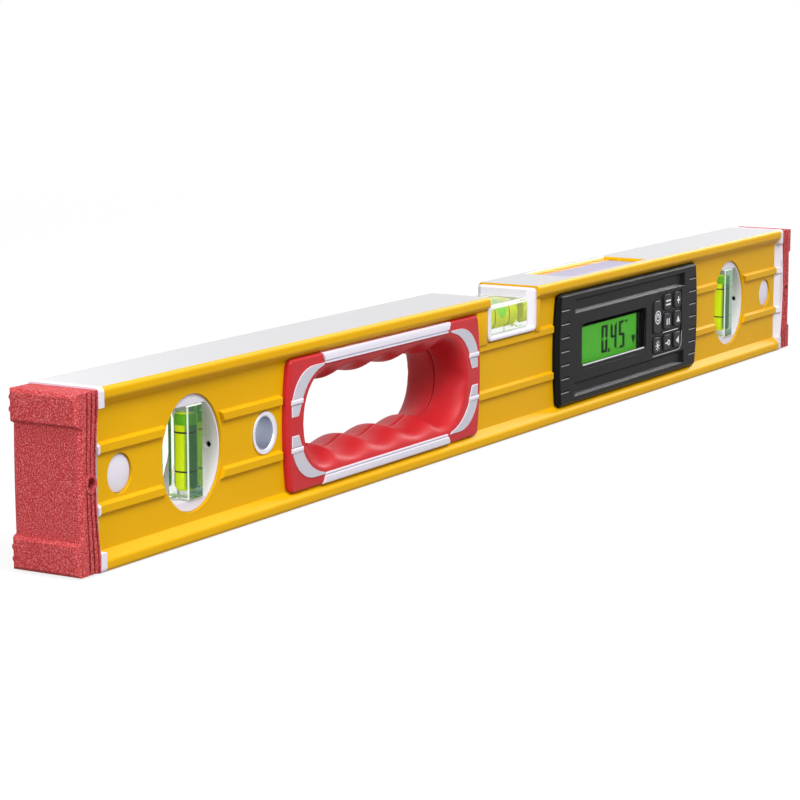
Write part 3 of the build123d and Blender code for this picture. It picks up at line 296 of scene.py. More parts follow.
def makeProfileCoat(look):
    material, tree, shader = makeSkin("profileCoat", look["coat"])
    place = addNode(tree, "ShaderNodeTexCoord")
    apart = addNode(tree, "ShaderNodeSeparateXYZ")
    above = addNode(tree, "ShaderNodeMath", {1: look["faceTop"]}, operation="GREATER_THAN")
    below = addNode(tree, "ShaderNodeMath", {1: look["faceBottom"]}, operation="LESS_THAN")
    milled = addNode(tree, "ShaderNodeMath", operation="MAXIMUM")
    stretch = addNode(tree, "ShaderNodeMapping", {"Scale": look["cutterScale"]})
    lines = addNode(tree, "ShaderNodeTexNoise", {"Scale": 1.0, "Detail": 2.0})
    bright = addNode(tree, "ShaderNodeMix", data_type="RGBA", blend_type="MULTIPLY")
    setInputs(bright, {"Factor": look["cutterDepth"], "A": shade(*look["milled"])})
    wireUp(
        tree,
        (place, "Object", apart, "Vector"), (apart, "Z", above, 0), (apart, "Z", below, 0),
        (above, "Value", milled, 0), (below, "Value", milled, 1), (place, "Object", stretch, "Vector"),
        (stretch, "Vector", lines, "Vector"), (lines, "Color", bright, "B"),
    )
    # The milled faces take over the coat's colour, gloss and metal
    bare = {"Roughness": look["milledRough"], "Metallic": 1.0}
    for socket in ("Base Color", "Roughness", "Metallic"):
        target = shader.inputs[socket]
        values = {"A": 0.0, "B": bare[socket]} if socket in bare else None
        mix = addNode(tree, "ShaderNodeMix", values, data_type="FLOAT" if values else "RGBA")
        if target.is_linked:
            tree.links.new(target.links[0].from_socket, mix.inputs["A"])
        if not values:
            wireUp(tree, (bright, "Result", mix, "B"))
        wireUp(tree, (milled, "Value", mix, "Factor"), (mix, "Result", shader, socket))
    return material


materials["profileCoat"] = makeProfileCoat(profileLook)

# Clear acrylic and panes
clearLook = {
    "acrylic": dict(colour=(0.95, 1.0, 0.95, 1), rough=0.02, ior=1.33),
    "pane": dict(colour=(1.0, 1.0, 1.0, 1), rough=0.03, ior=1.04),
    # painted shade: a dark acrylic for the front faces of the plumb bars
    "shadeTintedAcrylic": dict(colour=(0.08, 0.22, 0.15, 1), rough=0.02, ior=1.33),
}
clearDrift = 0.03


def makeClear(name, look):
    material, tree, shader = startMaterial(name)
    skin = addNode(tree, "ShaderNodeGroup", {
        "Colour": look["colour"], "Drift Colour": look["colour"],
        "Roughness": look["rough"], "Roughness Drift": clearDrift,
    }, node_tree=skinGroup)
    wireUp(tree, (skin, "Colour", shader, "Base Color"), (skin, "Roughness", shader, "Roughness"))
    setInputs(shader, {"Transmission Weight": 1.0, "IOR": look["ior"]})
    return material


# Dyed fluid: bright where it faces the ends of the block, with painted shade, a darker tint, where it faces
# the long faces; its glow is painted light
fluidSkin = dict(grainScale=60, rough=0.2, specular=0.1)
fluidLook = {
    "plumbFluid": dict(colour=(218, 226, 16), drift=(200, 220, 12), paintedShade=(58, 122, 60), glow=0.42,
                       low=0.45, high=0.8),
    "levelFluid": dict(colour=(214, 208, 10), drift=(160, 190, 12), paintedShade=(188, 196, 10), glow=0.22,
                       low=0.3, high=0.9),
}


def makeFluid(name, look):
    material, tree, shader = makeSkin(name, {**fluidSkin, **look})
    place = addNode(tree, "ShaderNodeTexCoord")
    apart = addNode(tree, "ShaderNodeSeparateXYZ")
    turned = addNode(tree, "ShaderNodeMath", operation="ABSOLUTE")
    facing = addNode(tree, "ShaderNodeMapRange", {"From Min": look["low"], "From Max": look["high"]})
    wireUp(tree, (place, "Normal", apart, "Vector"), (apart, "Y", turned, 0),
           (turned, "Value", facing, "Value"))
    bright = shader.inputs["Base Color"].links[0].from_socket
    # painted shade: the tint darkens where the surface faces front or back
    paint = layTint(tree, bright, shade(*look["paintedShade"]), facing.outputs["Result"])
    for socket in ("Base Color", "Emission Color"):
        tree.links.new(paint, shader.inputs[socket])
    return material


materials.update({name: makeClear(name, look) for name, look in clearLook.items()})
materials.update({name: makeFluid(name, look) for name, look in fluidLook.items()})
print("all materials made,", len(materials))

slotMaterial = {
    "profile_coat": "profileCoat", "cap_rubber": "capRubber", "grip_rubber": "gripRubber",
    "white_plastic": "whitePlastic", "sleeve_steel": "sleeveSteel", "vial_block": "acrylic",
    "vial_fluid": "plumbFluid", "vial_bubble": "airBubble", "ring_mark": "ringInk",
    "module_plastic": "blackPlastic", "key_plastic": "keyPlastic", "clear_window": "pane",
    "screen_glass": "litDisplay", "light_plastic": "lightGuide", "board_laminate": "boardGreen",
    "mat_rubber": "matRubber", "seal_rubber": "sealRubber", "holder_plastic": "holderPlastic",
    "cell_case": "cellSleeve", "contact_brass": "contactBrass", "sensor_case": "sensorCan",
    "screw_steel": "screwSteel",
}
for node, item in nodes.items():
    item.data.materials.clear()
    item.data.materials.append(materials[slotMaterial[slotOf[node]]])
# painted reflection: the top window takes the pale, glowing finish
nodes["top_glass"].data.materials[0] = materials["reflectionPaintedDisplay"]
nodes["level_fluid"].data.materials[0] = materials["levelFluid"]


softAngle = math.radians(24)  # edges sharper than this are rounded
flatAngle = math.radians(0.3)  # faces closer than this make one
weldGap = 2e-6
touch = 0.01  # mm, closer than this counts as touching


def weldedCopy(node):
    bm = bmesh.new()
    bm.from_mesh(nodes[node].data)
    bmesh.ops.remove_doubles(bm, verts=bm.verts, dist=weldGap)
    return bm


def roundEdges(bm, edges, size, segments=2):
    return bmesh.ops.bevel(bm, geom=edges, offset=size * mm, offset_type="OFFSET", segments=segments,
                           profile=0.5, affect="EDGES", clamp_overlap=True, material=-1)["faces"]


def addObject(name, data):
    item = bpy.data.objects.new(name, data)
    bpy.context.scene.collection.objects.link(item)
    return item


def addMesh(bm, name, finishes):
    mesh = bpy.data.meshes.new(name)
    bm.to_mesh(mesh)
    bm.free()
    for finish in finishes:
        mesh.materials.append(materials[finish])
    return addObject(name, mesh)


def finishPiece(bm, name, finishes, body):
    piece = addMesh(bm, name, finishes)
    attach(piece, body)
    return piece


# A piece in the place of a node, smooth but for the edges sharper than a number of degrees
def standIn(bm, name, finishes, node, sharp=None):
    bm.normal_update()
    for face in bm.faces:
        face.smooth = True
    if sharp:
        for edge in bm.edges:
            edge.smooth = edge.calc_face_angle(0.0) < math.radians(sharp)
    piece = finishPiece(bm, name, finishes, bodyOf[node])
    piece.modifiers.new("flatFaces", "WEIGHTED_NORMAL").keep_sharp = True
    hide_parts(node)


# Copies of solids with their edges rounded over, in mm
softEdges = {
    "profile": 0.35, "hang_sleeve": 0.15, "level_cradle": 0.8, "module_housing": 0.3, "module_back": 0.3,
    "battery_cover": 0.25, "end_plug_left": 0.3, "end_plug_right": 0.3, "end_bumper_left": 0.5,
    "end_bumper_right": 0.5, "plumb_housing_left": 0.35, "plumb_housing_right": 0.35,
    "cover_screws": 0.12, "housing_screws": 0.12,
    **{node: 0.3 for node in nodes if node.startswith("latch_")},
    **{node: 0.35 for node in nodes if node.startswith("key_")},
}
pierced = ("module_housing", "module_back")  # plates with openings keep more of their edges
keySink = 0.975  # room for the printed mark
capLook = dict(profileEnd=290.0, collarEnd=293.0, capEnd=305.0, halfWidth=13.8, waist=1.5, front=14.6,
               limit=15.0, midZ=31.5, halfRun=24.5, bow=1.8)


# The cap's sides are drawn out straight, and its collar bows along the level
def straightenCap(bm, look, isPlug):
    collar = look["collarEnd"] - look["profileEnd"]
    bumper = look["capEnd"] - look["collarEnd"]
    for vert in bm.verts:
        x, y, z = vert.co / mm
        reach = abs(x) - look["profileEnd"]
        share = max(0.0, 1 - ((z - look["midZ"]) / look["halfRun"]) ** 2)
        if reach <= touch or (isPlug and share == 0):
            continue
        wanted = look["front"] if y < 0 else look["halfWidth"]
        spread = wanted / (look["halfWidth"] - look["waist"] * share)
        y *= 1 + min(1.0, reach / collar) * (spread - 1)
        fade = reach / collar if reach < collar else (look["capEnd"] - abs(x)) / bumper
        x += math.copysign(look["bow"] * share * fade, x)
        vert.co = Vector((x, max(-look["limit"], min(look["limit"], y)), z)) * mm


def softCopy(node, edgeRound):
    bm = weldedCopy(node)
    if node in pierced:
        bmesh.ops.join_triangles(bm, faces=bm.faces, angle_face_threshold=flatAngle,
                                 angle_shape_threshold=math.pi)
    else:
        bmesh.ops.dissolve_limit(bm, angle_limit=flatAngle, verts=bm.verts, edges=bm.edges)
    corners = [e for e in bm.edges if e.is_manifold and e.calc_face_angle(0.0) > softAngle]
    roundEdges(bm, corners, edgeRound)
    if node.startswith("key_"):
        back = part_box(node)[1][1]
        bmesh.ops.scale(bm, vec=(1, keySink, 1), space=Matrix.Translation((0, -back, 0)), verts=bm.verts)
    if node.startswith("end_"):
        straightenCap(bm, capLook, node.startswith("end_plug"))
    standIn(bm, "soft_" + node, [slotMaterial[slotOf[node]]], node)


for node, edgeRound in softEdges.items():
    softCopy(node, edgeRound)
print("soft-edged pieces made,", len(softEdges))


# Points on a round, from one angle to another in degrees
def arc(x, z, radius, start, end, steps):
    turns = [math.radians(start + (end - start) * i / steps) for i in range(steps + 1)]
    return [(x + radius * math.cos(turn), z + radius * math.sin(turn)) for turn in turns]


def cornerArc(half, tall, corner, steps):
    return arc(half - corner, tall - corner, corner, 90, 0, steps)


# Hand grip: a red shell lofted through rings, with a white frame showing on it
handleLook = dict(
    midX=-105.3, midZ=31.5, length=147.4, plateShift=1.2, seatHeight=48.6, faceHeight=50.4, bow=2.2,
    corner=2.2, leastCorner=0.8, wallY=11.55, seatY=12.7, seatLift=0.1, edgeY=12.9, faceY=14.35,
    edgeRound=1.1, edgeSteps=4, lipLength=125.6, lipShift=0.9, lipHeight=41.6, lipCorner=20.0, lipY=14.25,
    lipRound=0.8, lipShare=0.6, lipDrop=0.05, flareTurn=88, flareSteps=16, fingerRun=74.1, fingers=3,
    crest=12.45, fingerDepth=2.9, fingerShape=0.72, bulge=23.5, liningLength=131.0, liningHeight=41.7,
    liningCorner=18.0, partY=0.12, partDip=0.35, frameLength=141.4, frameHeight=47.0, sharp=50,
)
runSteps = 48  # ring points along one row of finger grooves
flatSteps, turnSteps, sideSteps = 5, 10, 4  # ring points round one end


def roundedRing(look, length, height, corner, bow=0.0):
    half, tall, run = length / 2, height / 2, look["fingerRun"] / 2
    quarter = [(run + (half - corner - run) * i / flatSteps, tall) for i in range(flatSteps)]
    quarter += cornerArc(half, tall, corner, turnSteps)
    quarter += [(half, (tall - corner) * (1 - i / sideSteps)) for i in range(1, sideSteps)]
    quarter = [(x - bow * (z / tall) ** 2 * (x - run) / (half - run), z) for x, z in quarter]
    return wholeRing(look, [tall] * (runSteps - 1), quarter, half)


def throatRing(look, grow):
    run, bulge = look["fingerRun"] / 2, look["bulge"]
    radius = (look["crest"] ** 2 + bulge ** 2) / (2 * bulge)
    centre = run + bulge - radius
    sweep = math.degrees(math.atan2(look["crest"], run - centre))
    quarter = arc(centre, 0.0, radius + grow, sweep, 0, flatSteps + turnSteps + sideSteps)[:-1]
    heights = []
    for i in range(1, runSteps):
        phase = i / runSteps * look["fingers"] * 2 * math.pi
        wave = (0.5 - 0.5 * math.cos(phase)) ** look["fingerShape"]
        heights.append(look["crest"] + grow + look["fingerDepth"] * wave)
    return wholeRing(look, heights, quarter, centre + radius + grow)


# A closed ring from one row of heights, a quarter end and the far point of the end
def wholeRing(look, heights, quarter, reach):
    run = look["fingerRun"]
    right = quarter + [(reach, 0.0)] + [(x, -z) for x, z in reversed(quarter)]
    top = [(-run / 2 + run * (i + 1) / runSteps, z) for i, z in enumerate(heights)]
    left = [(-x, -z) for x, z in right]
    bottom = [(-x, -z) for x, z in top]
    return top + right + bottom + left


def placedRing(look, ring, depth, shift=0.0):
    return [Vector((look["midX"] + shift + x, -depth, look["midZ"] + z)) * mm for x, z in ring]


def blendRings(first, second, share):
    return [(a[0] + (b[0] - a[0]) * share, a[1] + (b[1] - a[1]) * share) for a, b in zip(first, second)]


def plateRing(look, inset, depth, height):
    corner = max(look["corner"] - inset, look["leastCorner"])
    ring = roundedRing(look, look["length"] - 2 * inset, height - 2 * inset, corner, look["bow"])
    return placedRing(look, ring, depth, look["plateShift"])


def lipRing(look, grow):
    size = look["lipLength"] + 2 * grow, look["lipHeight"] + 2 * grow
    ring = roundedRing(look, *size, look["lipCorner"] + grow)
    return [(x + look["lipShift"], z) for x, z in ring]


def gripRings(look):
    seat, face = look["seatHeight"], look["faceHeight"]
    rings = [plateRing(look, 0, look["wallY"], seat), plateRing(look, 0, look["seatY"], seat),
             plateRing(look, 0, look["seatY"], face), plateRing(look, 0, look["edgeY"], face)]
    for i in range(1, look["edgeSteps"] + 1):
        angle = math.radians(90 * i / look["edgeSteps"])
        depth = look["edgeY"] + (look["faceY"] - look["edgeY"]) * math.sin(angle)
        rings.append(plateRing(look, look["edgeRound"] * (1 - math.cos(angle)), depth, face))
    # The lip has a small round, then flares into the finger grooves
    wide, lip, throat = lipRing(look, look["lipRound"]), lipRing(look, 0), throatRing(look, 0.0)
    rings.append(placedRing(look, wide, look["faceY"]))
    rings.append(placedRing(look, blendRings(wide, lip, look["lipShare"]), look["faceY"] - look["lipDrop"]))
    for i in range(look["flareSteps"] + 1):
        angle = math.radians(look["flareTurn"] * i / look["flareSteps"])
        ring = blendRings(lip, throat, math.sin(angle))
        rings.append(placedRing(look, ring, look["lipY"] * math.cos(angle)))
    # Back along the lining and out over the edge of the frame
    lining = roundedRing(look, look["liningLength"], look["liningHeight"], look["liningCorner"])
    frameEdge = roundedRing(look, look["frameLength"], look["frameHeight"], look["corner"], look["bow"])
    seatTop = look["seatY"] + look["seatLift"]
    for ring, depth in ((throatRing(look, look["partDip"]), look["partY"]), (lining, look["partY"]),
                        (lining, seatTop), (frameEdge, seatTop), (frameEdge, look["wallY"])):
        rings.append(placedRing(look, ring, depth))
    return rings


def loopEdges(bm, ring):
    return [bm.edges.get((ring[i - 1], ring[i])) for i in range(len(ring))]


def extrudeRing(bm, ring, points):
    made = set(bmesh.ops.extrude_edge_only(bm, edges=loopEdges(bm, ring))["geom"])
    fresh = [next(e.other_vert(v) for e in v.link_edges if e.other_vert(v) in made) for v in ring]
    for vert, point in zip(fresh, points):
        vert.co = point
    return fresh


def makeGrip(look, side, name, node):
    rings = gripRings(look)
    bm = bmesh.new()
    first = bmesh.ops.create_circle(bm, segments=len(rings[0]), radius=1)["verts"]
    for vert, point in zip(first, rings[0]):
        vert.co = point
    last = first
    for points in rings[1:]:
        last = extrudeRing(bm, last, points)
    bmesh.ops.bridge_loops(bm, edges=loopEdges(bm, first) + loopEdges(bm, last))
    if side < 0:
        bmesh.ops.scale(bm, vec=(1, -1, 1), verts=bm.verts)
    bmesh.ops.recalc_face_normals(bm, faces=bm.faces)
    standIn(bm, name, ["gripRubber"], node, look["sharp"])


makeGrip(handleLook, 1, "gripFront", "handle_grip_front")
makeGrip(handleLook, -1, "gripRear", "handle_grip_rear")
print("grips made")


# White frame: a grooved bar above and below, and four brackets with a raised band
bracketLook = dict(
    length=140.0, height=42.6, corner=15.5, innerLength=130.0, innerHeight=41.2, innerCorner=20.0, endX=46.5,
    bandHigh=10.0, bandLow=8.1, bandGrow=0.35, blockEnd=3.4, faceY=14.7, bandY=15.0, blockY=14.55, footY=12.7,
    turnSteps=10, edgeRound=0.45, rightShift=2.2, faceOn=0.99, sharp=35,
)
barLook = dict(
    half=48.6, slant=0.5, high=25.1,
    section=((12.8, 56.6), (14.2, 56.6), (14.75, 56.3), (15.0, 55.6), (15.0, 53.7), (14.4, 53.4),
             (14.4, 53.1), (14.85, 52.95), (14.85, 52.5), (14.4, 52.3), (12.8, 52.3)),
)


# A closed solid from a flat outline, raised along the front axis, its front edges rounded
def raiseOutline(bm, outline, backY, frontY, edgeRound=0.0):
    base = bm.faces.new([bm.verts.new((x * mm, -backY * mm, z * mm)) for x, z in outline])
    made = bmesh.ops.extrude_face_region(bm, geom=[base])["geom"]
    lid = next(part for part in made if isinstance(part, bmesh.types.BMFace))
    bmesh.ops.translate(bm, verts=lid.verts[:], vec=(0, (backY - frontY) * mm, 0))
    if edgeRound:
        roundEdges(bm, lid.edges[:], edgeRound)


# A bracket's crescent, band and block, each an outline and its front
def bracketParts(look):
    reach, tall = look["length"] / 2, look["height"] / 2
    hollow = look["innerLength"] / 2
    high, low, end, grow = look["bandHigh"], look["bandLow"], look["endX"], look["bandGrow"]
    outer = cornerArc(reach, tall, look["corner"], look["turnSteps"])
    inner = cornerArc(hollow, look["innerHeight"] / 2, look["innerCorner"], look["turnSteps"])
    outer = [(end, tall)] + [point for point in outer if point[1] > low]
    inner = [point for point in inner if point[0] > end and point[1] > low]
    edge = inner[-1][0]
    crescent = outer + [(reach, low), (edge, low)] + inner[::-1]
    band = [(reach + grow, high), (reach + grow, low), (edge - grow, low), (edge - grow, high)]
    block = [(reach, low), (reach, look["blockEnd"]), (hollow, look["blockEnd"]), (edge, low)]
    return (crescent, look["faceY"]), (band, look["bandY"]), (block, look["blockY"])


def addFrameBar(bm, handle, bar, turnZ):
    ends = []
    for turnX in (-1, 1):
        verts = []
        for depth, height in bar["section"]:
            lift = height - handle["midZ"]
            half = bar["half"] + bar["slant"] * (lift - bar["high"])
            point = Vector((handle["midX"] + turnX * half, -depth, handle["midZ"] + turnZ * lift))
            verts.append(bm.verts.new(point * mm))
        ends.append(bm.faces.new(verts))
    bmesh.ops.bridge_loops(bm, edges=[edge for face in ends for edge in face.edges])


def makeFrame(handle, bracket, bar, side, name, node):
    bm = weldedCopy(node)
    # The plate and the tube stay as they are, and the raised parts are made anew
    plateY = -side * (bracket["footY"] + touch) * mm
    cut = bmesh.ops.bisect_plane(bm, geom=bm.verts[:] + bm.edges[:] + bm.faces[:], plane_co=(0, plateY, 0),
                                 plane_no=(0, -side, 0), clear_outer=True, dist=weldGap)["geom_cut"]
    bmesh.ops.holes_fill(bm, edges=[part for part in cut if isinstance(part, bmesh.types.BMEdge)])
    kept = set(bm.verts)
    for turnX in (-1, 1):
        for turnZ in (-1, 1):
            for outline, front in bracketParts(bracket):
                shift = handle["midX"] + (bracket["rightShift"] if turnX > 0 else 0)
                moved = [(shift + turnX * x, handle["midZ"] + turnZ * z) for x, z in outline]
                raiseOutline(bm, moved, bracket["footY"], front, bracket["edgeRound"])
    for turnZ in (-1, 1):
        addFrameBar(bm, handle, bar, turnZ)
    bm.normal_update()
    for face in bm.faces:  # painted shade: the flat fronts take a greyer copy of the white plastic
        depth = -face.calc_center_median().y / mm
        away = min(abs(depth - bracket["faceY"]), abs(depth - bracket["blockY"]))
        if abs(face.normal.y) > bracket["faceOn"] and away < touch:
            face.material_index = 1
    if side < 0:
        bmesh.ops.scale(bm, vec=(1, -1, 1), verts=[v for v in bm.verts if v not in kept])
    bmesh.ops.recalc_face_normals(bm, faces=bm.faces)
    standIn(bm, name, ["whitePlastic", "bracketShadedWhite"], node, bracket["sharp"])


makeFrame(handleLook, bracketLook, barLook, 1, "frameFront", "handle_frame_front")
makeFrame(handleLook, bracketLook, barLook, -1, "frameRear", "handle_frame_rear")
print("handle frames made")


# The level vial's block: clear, with its sawn edges in a pale white as a painted highlight, and a hair's gap
# to its seat
blockLook = dict(edge=0.5, gap=0.05, sharp=30)


def makeBlock(look, node):
    bm = weldedCopy(node)
    bmesh.ops.dissolve_limit(bm, angle_limit=flatAngle, verts=bm.verts, edges=bm.edges)
    low, high = (Vector(corner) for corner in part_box(node))

    def atEdge(vert):  # on two or more sides of the box
        gaps = [min(vert.co[i] - low[i], high[i] - vert.co[i]) for i in range(3)]
        return sum(abs(gap) < touch * mm for gap in gaps) > 1

    sawn = [e for e in bm.edges if all(atEdge(v) for v in e.verts) and e.calc_face_angle(0.0) > softAngle]
    for face in roundEdges(bm, sawn, look["edge"], segments=1):
        face.material_index = 1  # painted highlight: pale white on the rounded edges
    shrink = [1 - 2 * look["gap"] * mm / side for side in high - low]
    bmesh.ops.scale(bm, vec=shrink, space=Matrix.Translation((low + high) / -2), verts=bm.verts)
    standIn(bm, "clear_" + node, ["acrylic", "paintedEdgeGlint"], node, look["sharp"])


makeBlock(blockLook, "level_block")

# Plumb vials: a slim clear bar with a round tube behind each face, the left ones set off the middle
vialLook = dict(depth=8.8, gap=0.05, edge=0.45, radius=3.45, tall=28.0, round=2.4, roundSteps=6, rimAngle=60,
                ringProud=0.02, ringTall=0.6, ringSpacing=14.0, bubbleProud=0.05, bubbleTall=4.6,
                bubbleRound=1.0, turns=48, sharp=30, shift=dict(left=2.2, right=0.0))
vialFinishes = dict(block=("clear_", ["acrylic", "paintedEdgeGlint", "shadeTintedAcrylic"]),
                    fluid=("dyed_", ["plumbFluid"]), rings=("printed_", ["ringInk"]),
                    bubble=("air_", ["airBubble"]))


def edgesOf(verts):
    return list(dict.fromkeys(edge for vert in verts for edge in vert.link_edges))


def addTube(bm, look, middle, proud, tall, edgeRound=0.0):
    radius = (look["radius"] + proud) * mm
    made = bmesh.ops.create_cone(bm, cap_ends=True, segments=look["turns"], radius1=radius, radius2=radius,
                                 depth=tall * mm, matrix=Matrix.Translation(middle * mm))["verts"]
    if edgeRound:
        sharp = math.radians(look["rimAngle"])
        rims = [edge for edge in edgesOf(made) if edge.calc_face_angle(0.0) > sharp]
        roundEdges(bm, rims, edgeRound, look["roundSteps"])


def addBar(bm, look, middle, width, tall, facing):
    size = Vector((width - 2 * look["gap"], look["depth"], tall - 2 * look["gap"])) * mm
    place = Matrix.Translation(middle * mm) @ Matrix.Diagonal((*size, 1))
    cube = bmesh.ops.create_cube(bm, size=1, matrix=place)["verts"]
    faces = [face for vert in cube for face in vert.link_faces]
    front = max(faces, key=lambda face: face.calc_center_median().y * facing)
    front.material_index = 2  # painted shade: a darker acrylic on the front face
    for face in roundEdges(bm, edgesOf(cube), look["edge"], segments=1):
        face.material_index = 1  # painted highlight: pale white on the rounded edges


def makePlumbVial(look, side):
    low, high = (Vector(corner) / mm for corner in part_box("plumb_block_" + side))
    bubbleLow, bubbleHigh = (Vector(corner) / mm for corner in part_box("plumb_bubble_" + side))
    shapes = {name: bmesh.new() for name in vialFinishes}
    inward = (high.y - low.y) / 2 - look["gap"] - look["depth"] / 2
    for facing in (-1, 1):
        middle = (low + high) / 2 + Vector((-look["shift"][side], inward, 0)) * facing
        addBar(shapes["block"], look, middle, high.x - low.x, high.z - low.z, facing)
        addTube(shapes["fluid"], look, middle, 0.0, look["tall"], look["round"])
        for step in (-0.5, 0.5):
            ringPlace = middle + Vector((0, 0, step * look["ringSpacing"]))
            addTube(shapes["rings"], look, ringPlace, look["ringProud"], look["ringTall"])
        bubblePlace = Vector((middle.x, middle.y, (bubbleLow.z + bubbleHigh.z) / 2))
        addTube(shapes["bubble"], look, bubblePlace, look["bubbleProud"], look["bubbleTall"],
                look["bubbleRound"])
    for name, (start, finishes) in vialFinishes.items():
        node = "plumb_" + name + "_" + side
        bmesh.ops.recalc_face_normals(shapes[name], faces=shapes[name].faces)
        standIn(shapes[name], start + node, finishes, node, look["sharp"])


for sideName in ("left", "right"):
    makePlumbVial(vialLook, sideName)

# The level bubble presses against the wall of its vial, so that it shows through it
bubbleLook = dict(half=5.2, radius=5.25, skin=0.03, turn=100, axis=52.1, turns=72, rings=48, sharp=40)


def makeBubble(look, node):
    bm = bmesh.new()
    low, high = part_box(node)
    middle = (low[0] + high[0]) / 2 / mm
    bmesh.ops.create_uvsphere(bm, u_segments=look["turns"], v_segments=look["rings"], radius=1)
    for vert in bm.verts:  # a thin lens, wrapped round the upper side of the vial
        along, turn, rise = vert.co
        angle = math.radians(look["turn"]) * turn
        radius = look["radius"] + look["skin"] * rise
        vert.co = Vector((middle + look["half"] * along, radius * math.sin(angle),
                          look["axis"] + radius * math.cos(angle))) * mm
    bmesh.ops.recalc_face_normals(bm, faces=bm.faces)
    standIn(bm, "air_" + node, ["airBubble"], node, look["sharp"])


makeBubble(bubbleLook, "level_bubble")
print("vials made")


# Raised marks and trim: each row is an outline, its back, its front and the round of its edges, if any
def makeRaised(name, finish, node, rows):
    bm = bmesh.new()
    for row in rows:
        raiseOutline(bm, *row)
    finishMarks(bm, name, finish, node)


def finishMarks(bm, name, finish, node):
    bmesh.ops.recalc_face_normals(bm, faces=bm.faces)
    piece = finishPiece(bm, name, [finish], bodyOf[node])


# Display: segments of a plain number, its point, a degree dot and a pointer
digitLook = dict(bottom=24.8, top=37.4, wide=2.0, tall=1.25, gap=0.14, glassY=11.8, frontY=11.95,
                 digits=((87.4, 93.4, "abcdef"), (96.8, 102.9, "bcfg"), (105.4, 111.3, "acdfg")),
                 point=(95.2, 25.3, 0.95), degree=(113.2, 36.7, 0.8),
                 pointer=((118.6, 29.3), (122.8, 29.1), (120.7, 25.2)))


def segmentOutlines(look, left, right):
    low, high, wide, tall, gap = (look[key] for key in ("bottom", "top", "wide", "tall", "gap"))
    middle = (low + high) / 2
    upright = [(left, high - gap), (left + wide, high - gap - tall), (left + wide, middle + tall / 2 + gap),
               (left, middle + gap)]
    cap = [(left + gap, high), (right - gap, high), (right - gap - wide, high - tall),
           (left + gap + wide, high - tall)]
    start, end = left + gap + wide / 2, right - gap - wide / 2
    bar = [(left + gap, middle), (start, middle + tall / 2), (end, middle + tall / 2), (right - gap, middle),
           (end, middle - tall / 2), (start, middle - tall / 2)]

    def mirrored(outline):
        return [(left + right - x, z) for x, z in outline]

    def lowered(outline):
        return [(x, low + high - z) for x, z in outline]

    return {"a": cap, "b": mirrored(upright), "c": lowered(mirrored(upright)), "d": lowered(cap),
            "e": lowered(upright), "f": upright, "g": bar}


def roundOutline(x, z, radius, steps=12):
    return arc(x, z, radius, 0, 360, steps)[:-1]


def makeDigits(look):
    outlines = [look["pointer"], roundOutline(*look["point"]), roundOutline(*look["degree"])]
    for left, right, lit in look["digits"]:
        segments = segmentOutlines(look, left, right)
        outlines += [segments[letter] for letter in lit]
    rows = [(outline, look["glassY"], look["frontY"]) for outline in outlines]
    makeRaised("displayDigits", "digitInk", "screen_glass", rows)


makeDigits(digitLook)

# Module trim: the sill and shelf under the window, the tick edges, the rim and the line round the keys; the
# light grey tick edges and rim are painted highlights
trimLook = dict(
    sill=((63.9, 22.3), (127.2, 22.3), (127.6, 22.6), (127.2, 22.9), (63.9, 22.9)), sillBack=14.4,
    sillFront=14.52, sillRound=0.05, shelf=(62.9, 128.8, 20.6, 22.32), shelfBack=13.9, faceY=14.58,
    tickX=(46.25, 181.15), tickHalf=3.75, tickMiddle=31.5, tickPitch=6.1, tickRows=3, tickTop=0.4,
    tickDepth=0.34, tickFront=14.64, rimStart=(137.0, 16.6), rimTurn=(164.5, 16.6), rimRound=4.6,
    rimSteps=10, rimEnd=25.5, rimWidth=0.45, rimFront=14.75, rimEdge=0.08, line=(147.8, 164.6, 26.85, 27.2),
)


def oblong(left, right, low, high):
    return [(left, low), (right, low), (right, high), (left, high)]


def rimOutline(look):
    startX, startZ = look["rimStart"]
    turnX, turnZ = look["rimTurn"]
    turn, width, steps, end = look["rimRound"], look["rimWidth"], look["rimSteps"], look["rimEnd"]
    outer = arc(turnX, turnZ + turn, turn, -90, 0, steps)
    inner = arc(turnX, turnZ + turn, turn - width, 0, -90, steps)
    return ([(startX, startZ)] + outer + [(outer[-1][0], end), (inner[0][0], end)] + inner
            + [(startX, startZ + width)])


def makeTrim(look):
    def addTrim(name, finish, *rows):
        makeRaised(name, finish, "module_housing", rows)

    face, front = look["faceY"], look["tickFront"]
    addTrim("windowSill", "markInk", (look["sill"], look["sillBack"], look["sillFront"], look["sillRound"]))
    shelf = oblong(*look["shelf"])
    addTrim("windowShelf", "blackPlastic", (shelf, look["shelfBack"], face, look["sillRound"]))
    # painted highlight: light strips under the ticks and along the lit side of the keypad rim
    edges = []
    for x in look["tickX"]:
        for row in range(-look["tickRows"], look["tickRows"] + 1):
            high = look["tickMiddle"] + row * look["tickPitch"] - look["tickTop"]
            outline = oblong(x - look["tickHalf"], x + look["tickHalf"], high - look["tickDepth"], high)
            edges.append((outline, face, front))
    edges.append((rimOutline(look), face, look["rimFront"], look["rimEdge"]))
    addTrim("moduleEdges", "edgeGrey", *edges)
    addTrim("keypadLine", "markInk", (oblong(*look["line"]), face, front))


makeTrim(trimLook)


# Coated borders beside the level vial, and ribs that run on over the collars
borderLook = dict(spans=((-31.6, -22.8), (20.0, 24.4)), low=42.6, high=57.4, backY=11.4, frontY=13.7,
                  edgeRound=1.1)
collarRibLook = dict(start=290.03, end=293.4, heights=(21.2, 41.8), foot=2.2, crest=1.3, backY=11.0,
                     startY=12.9, endY=14.75)


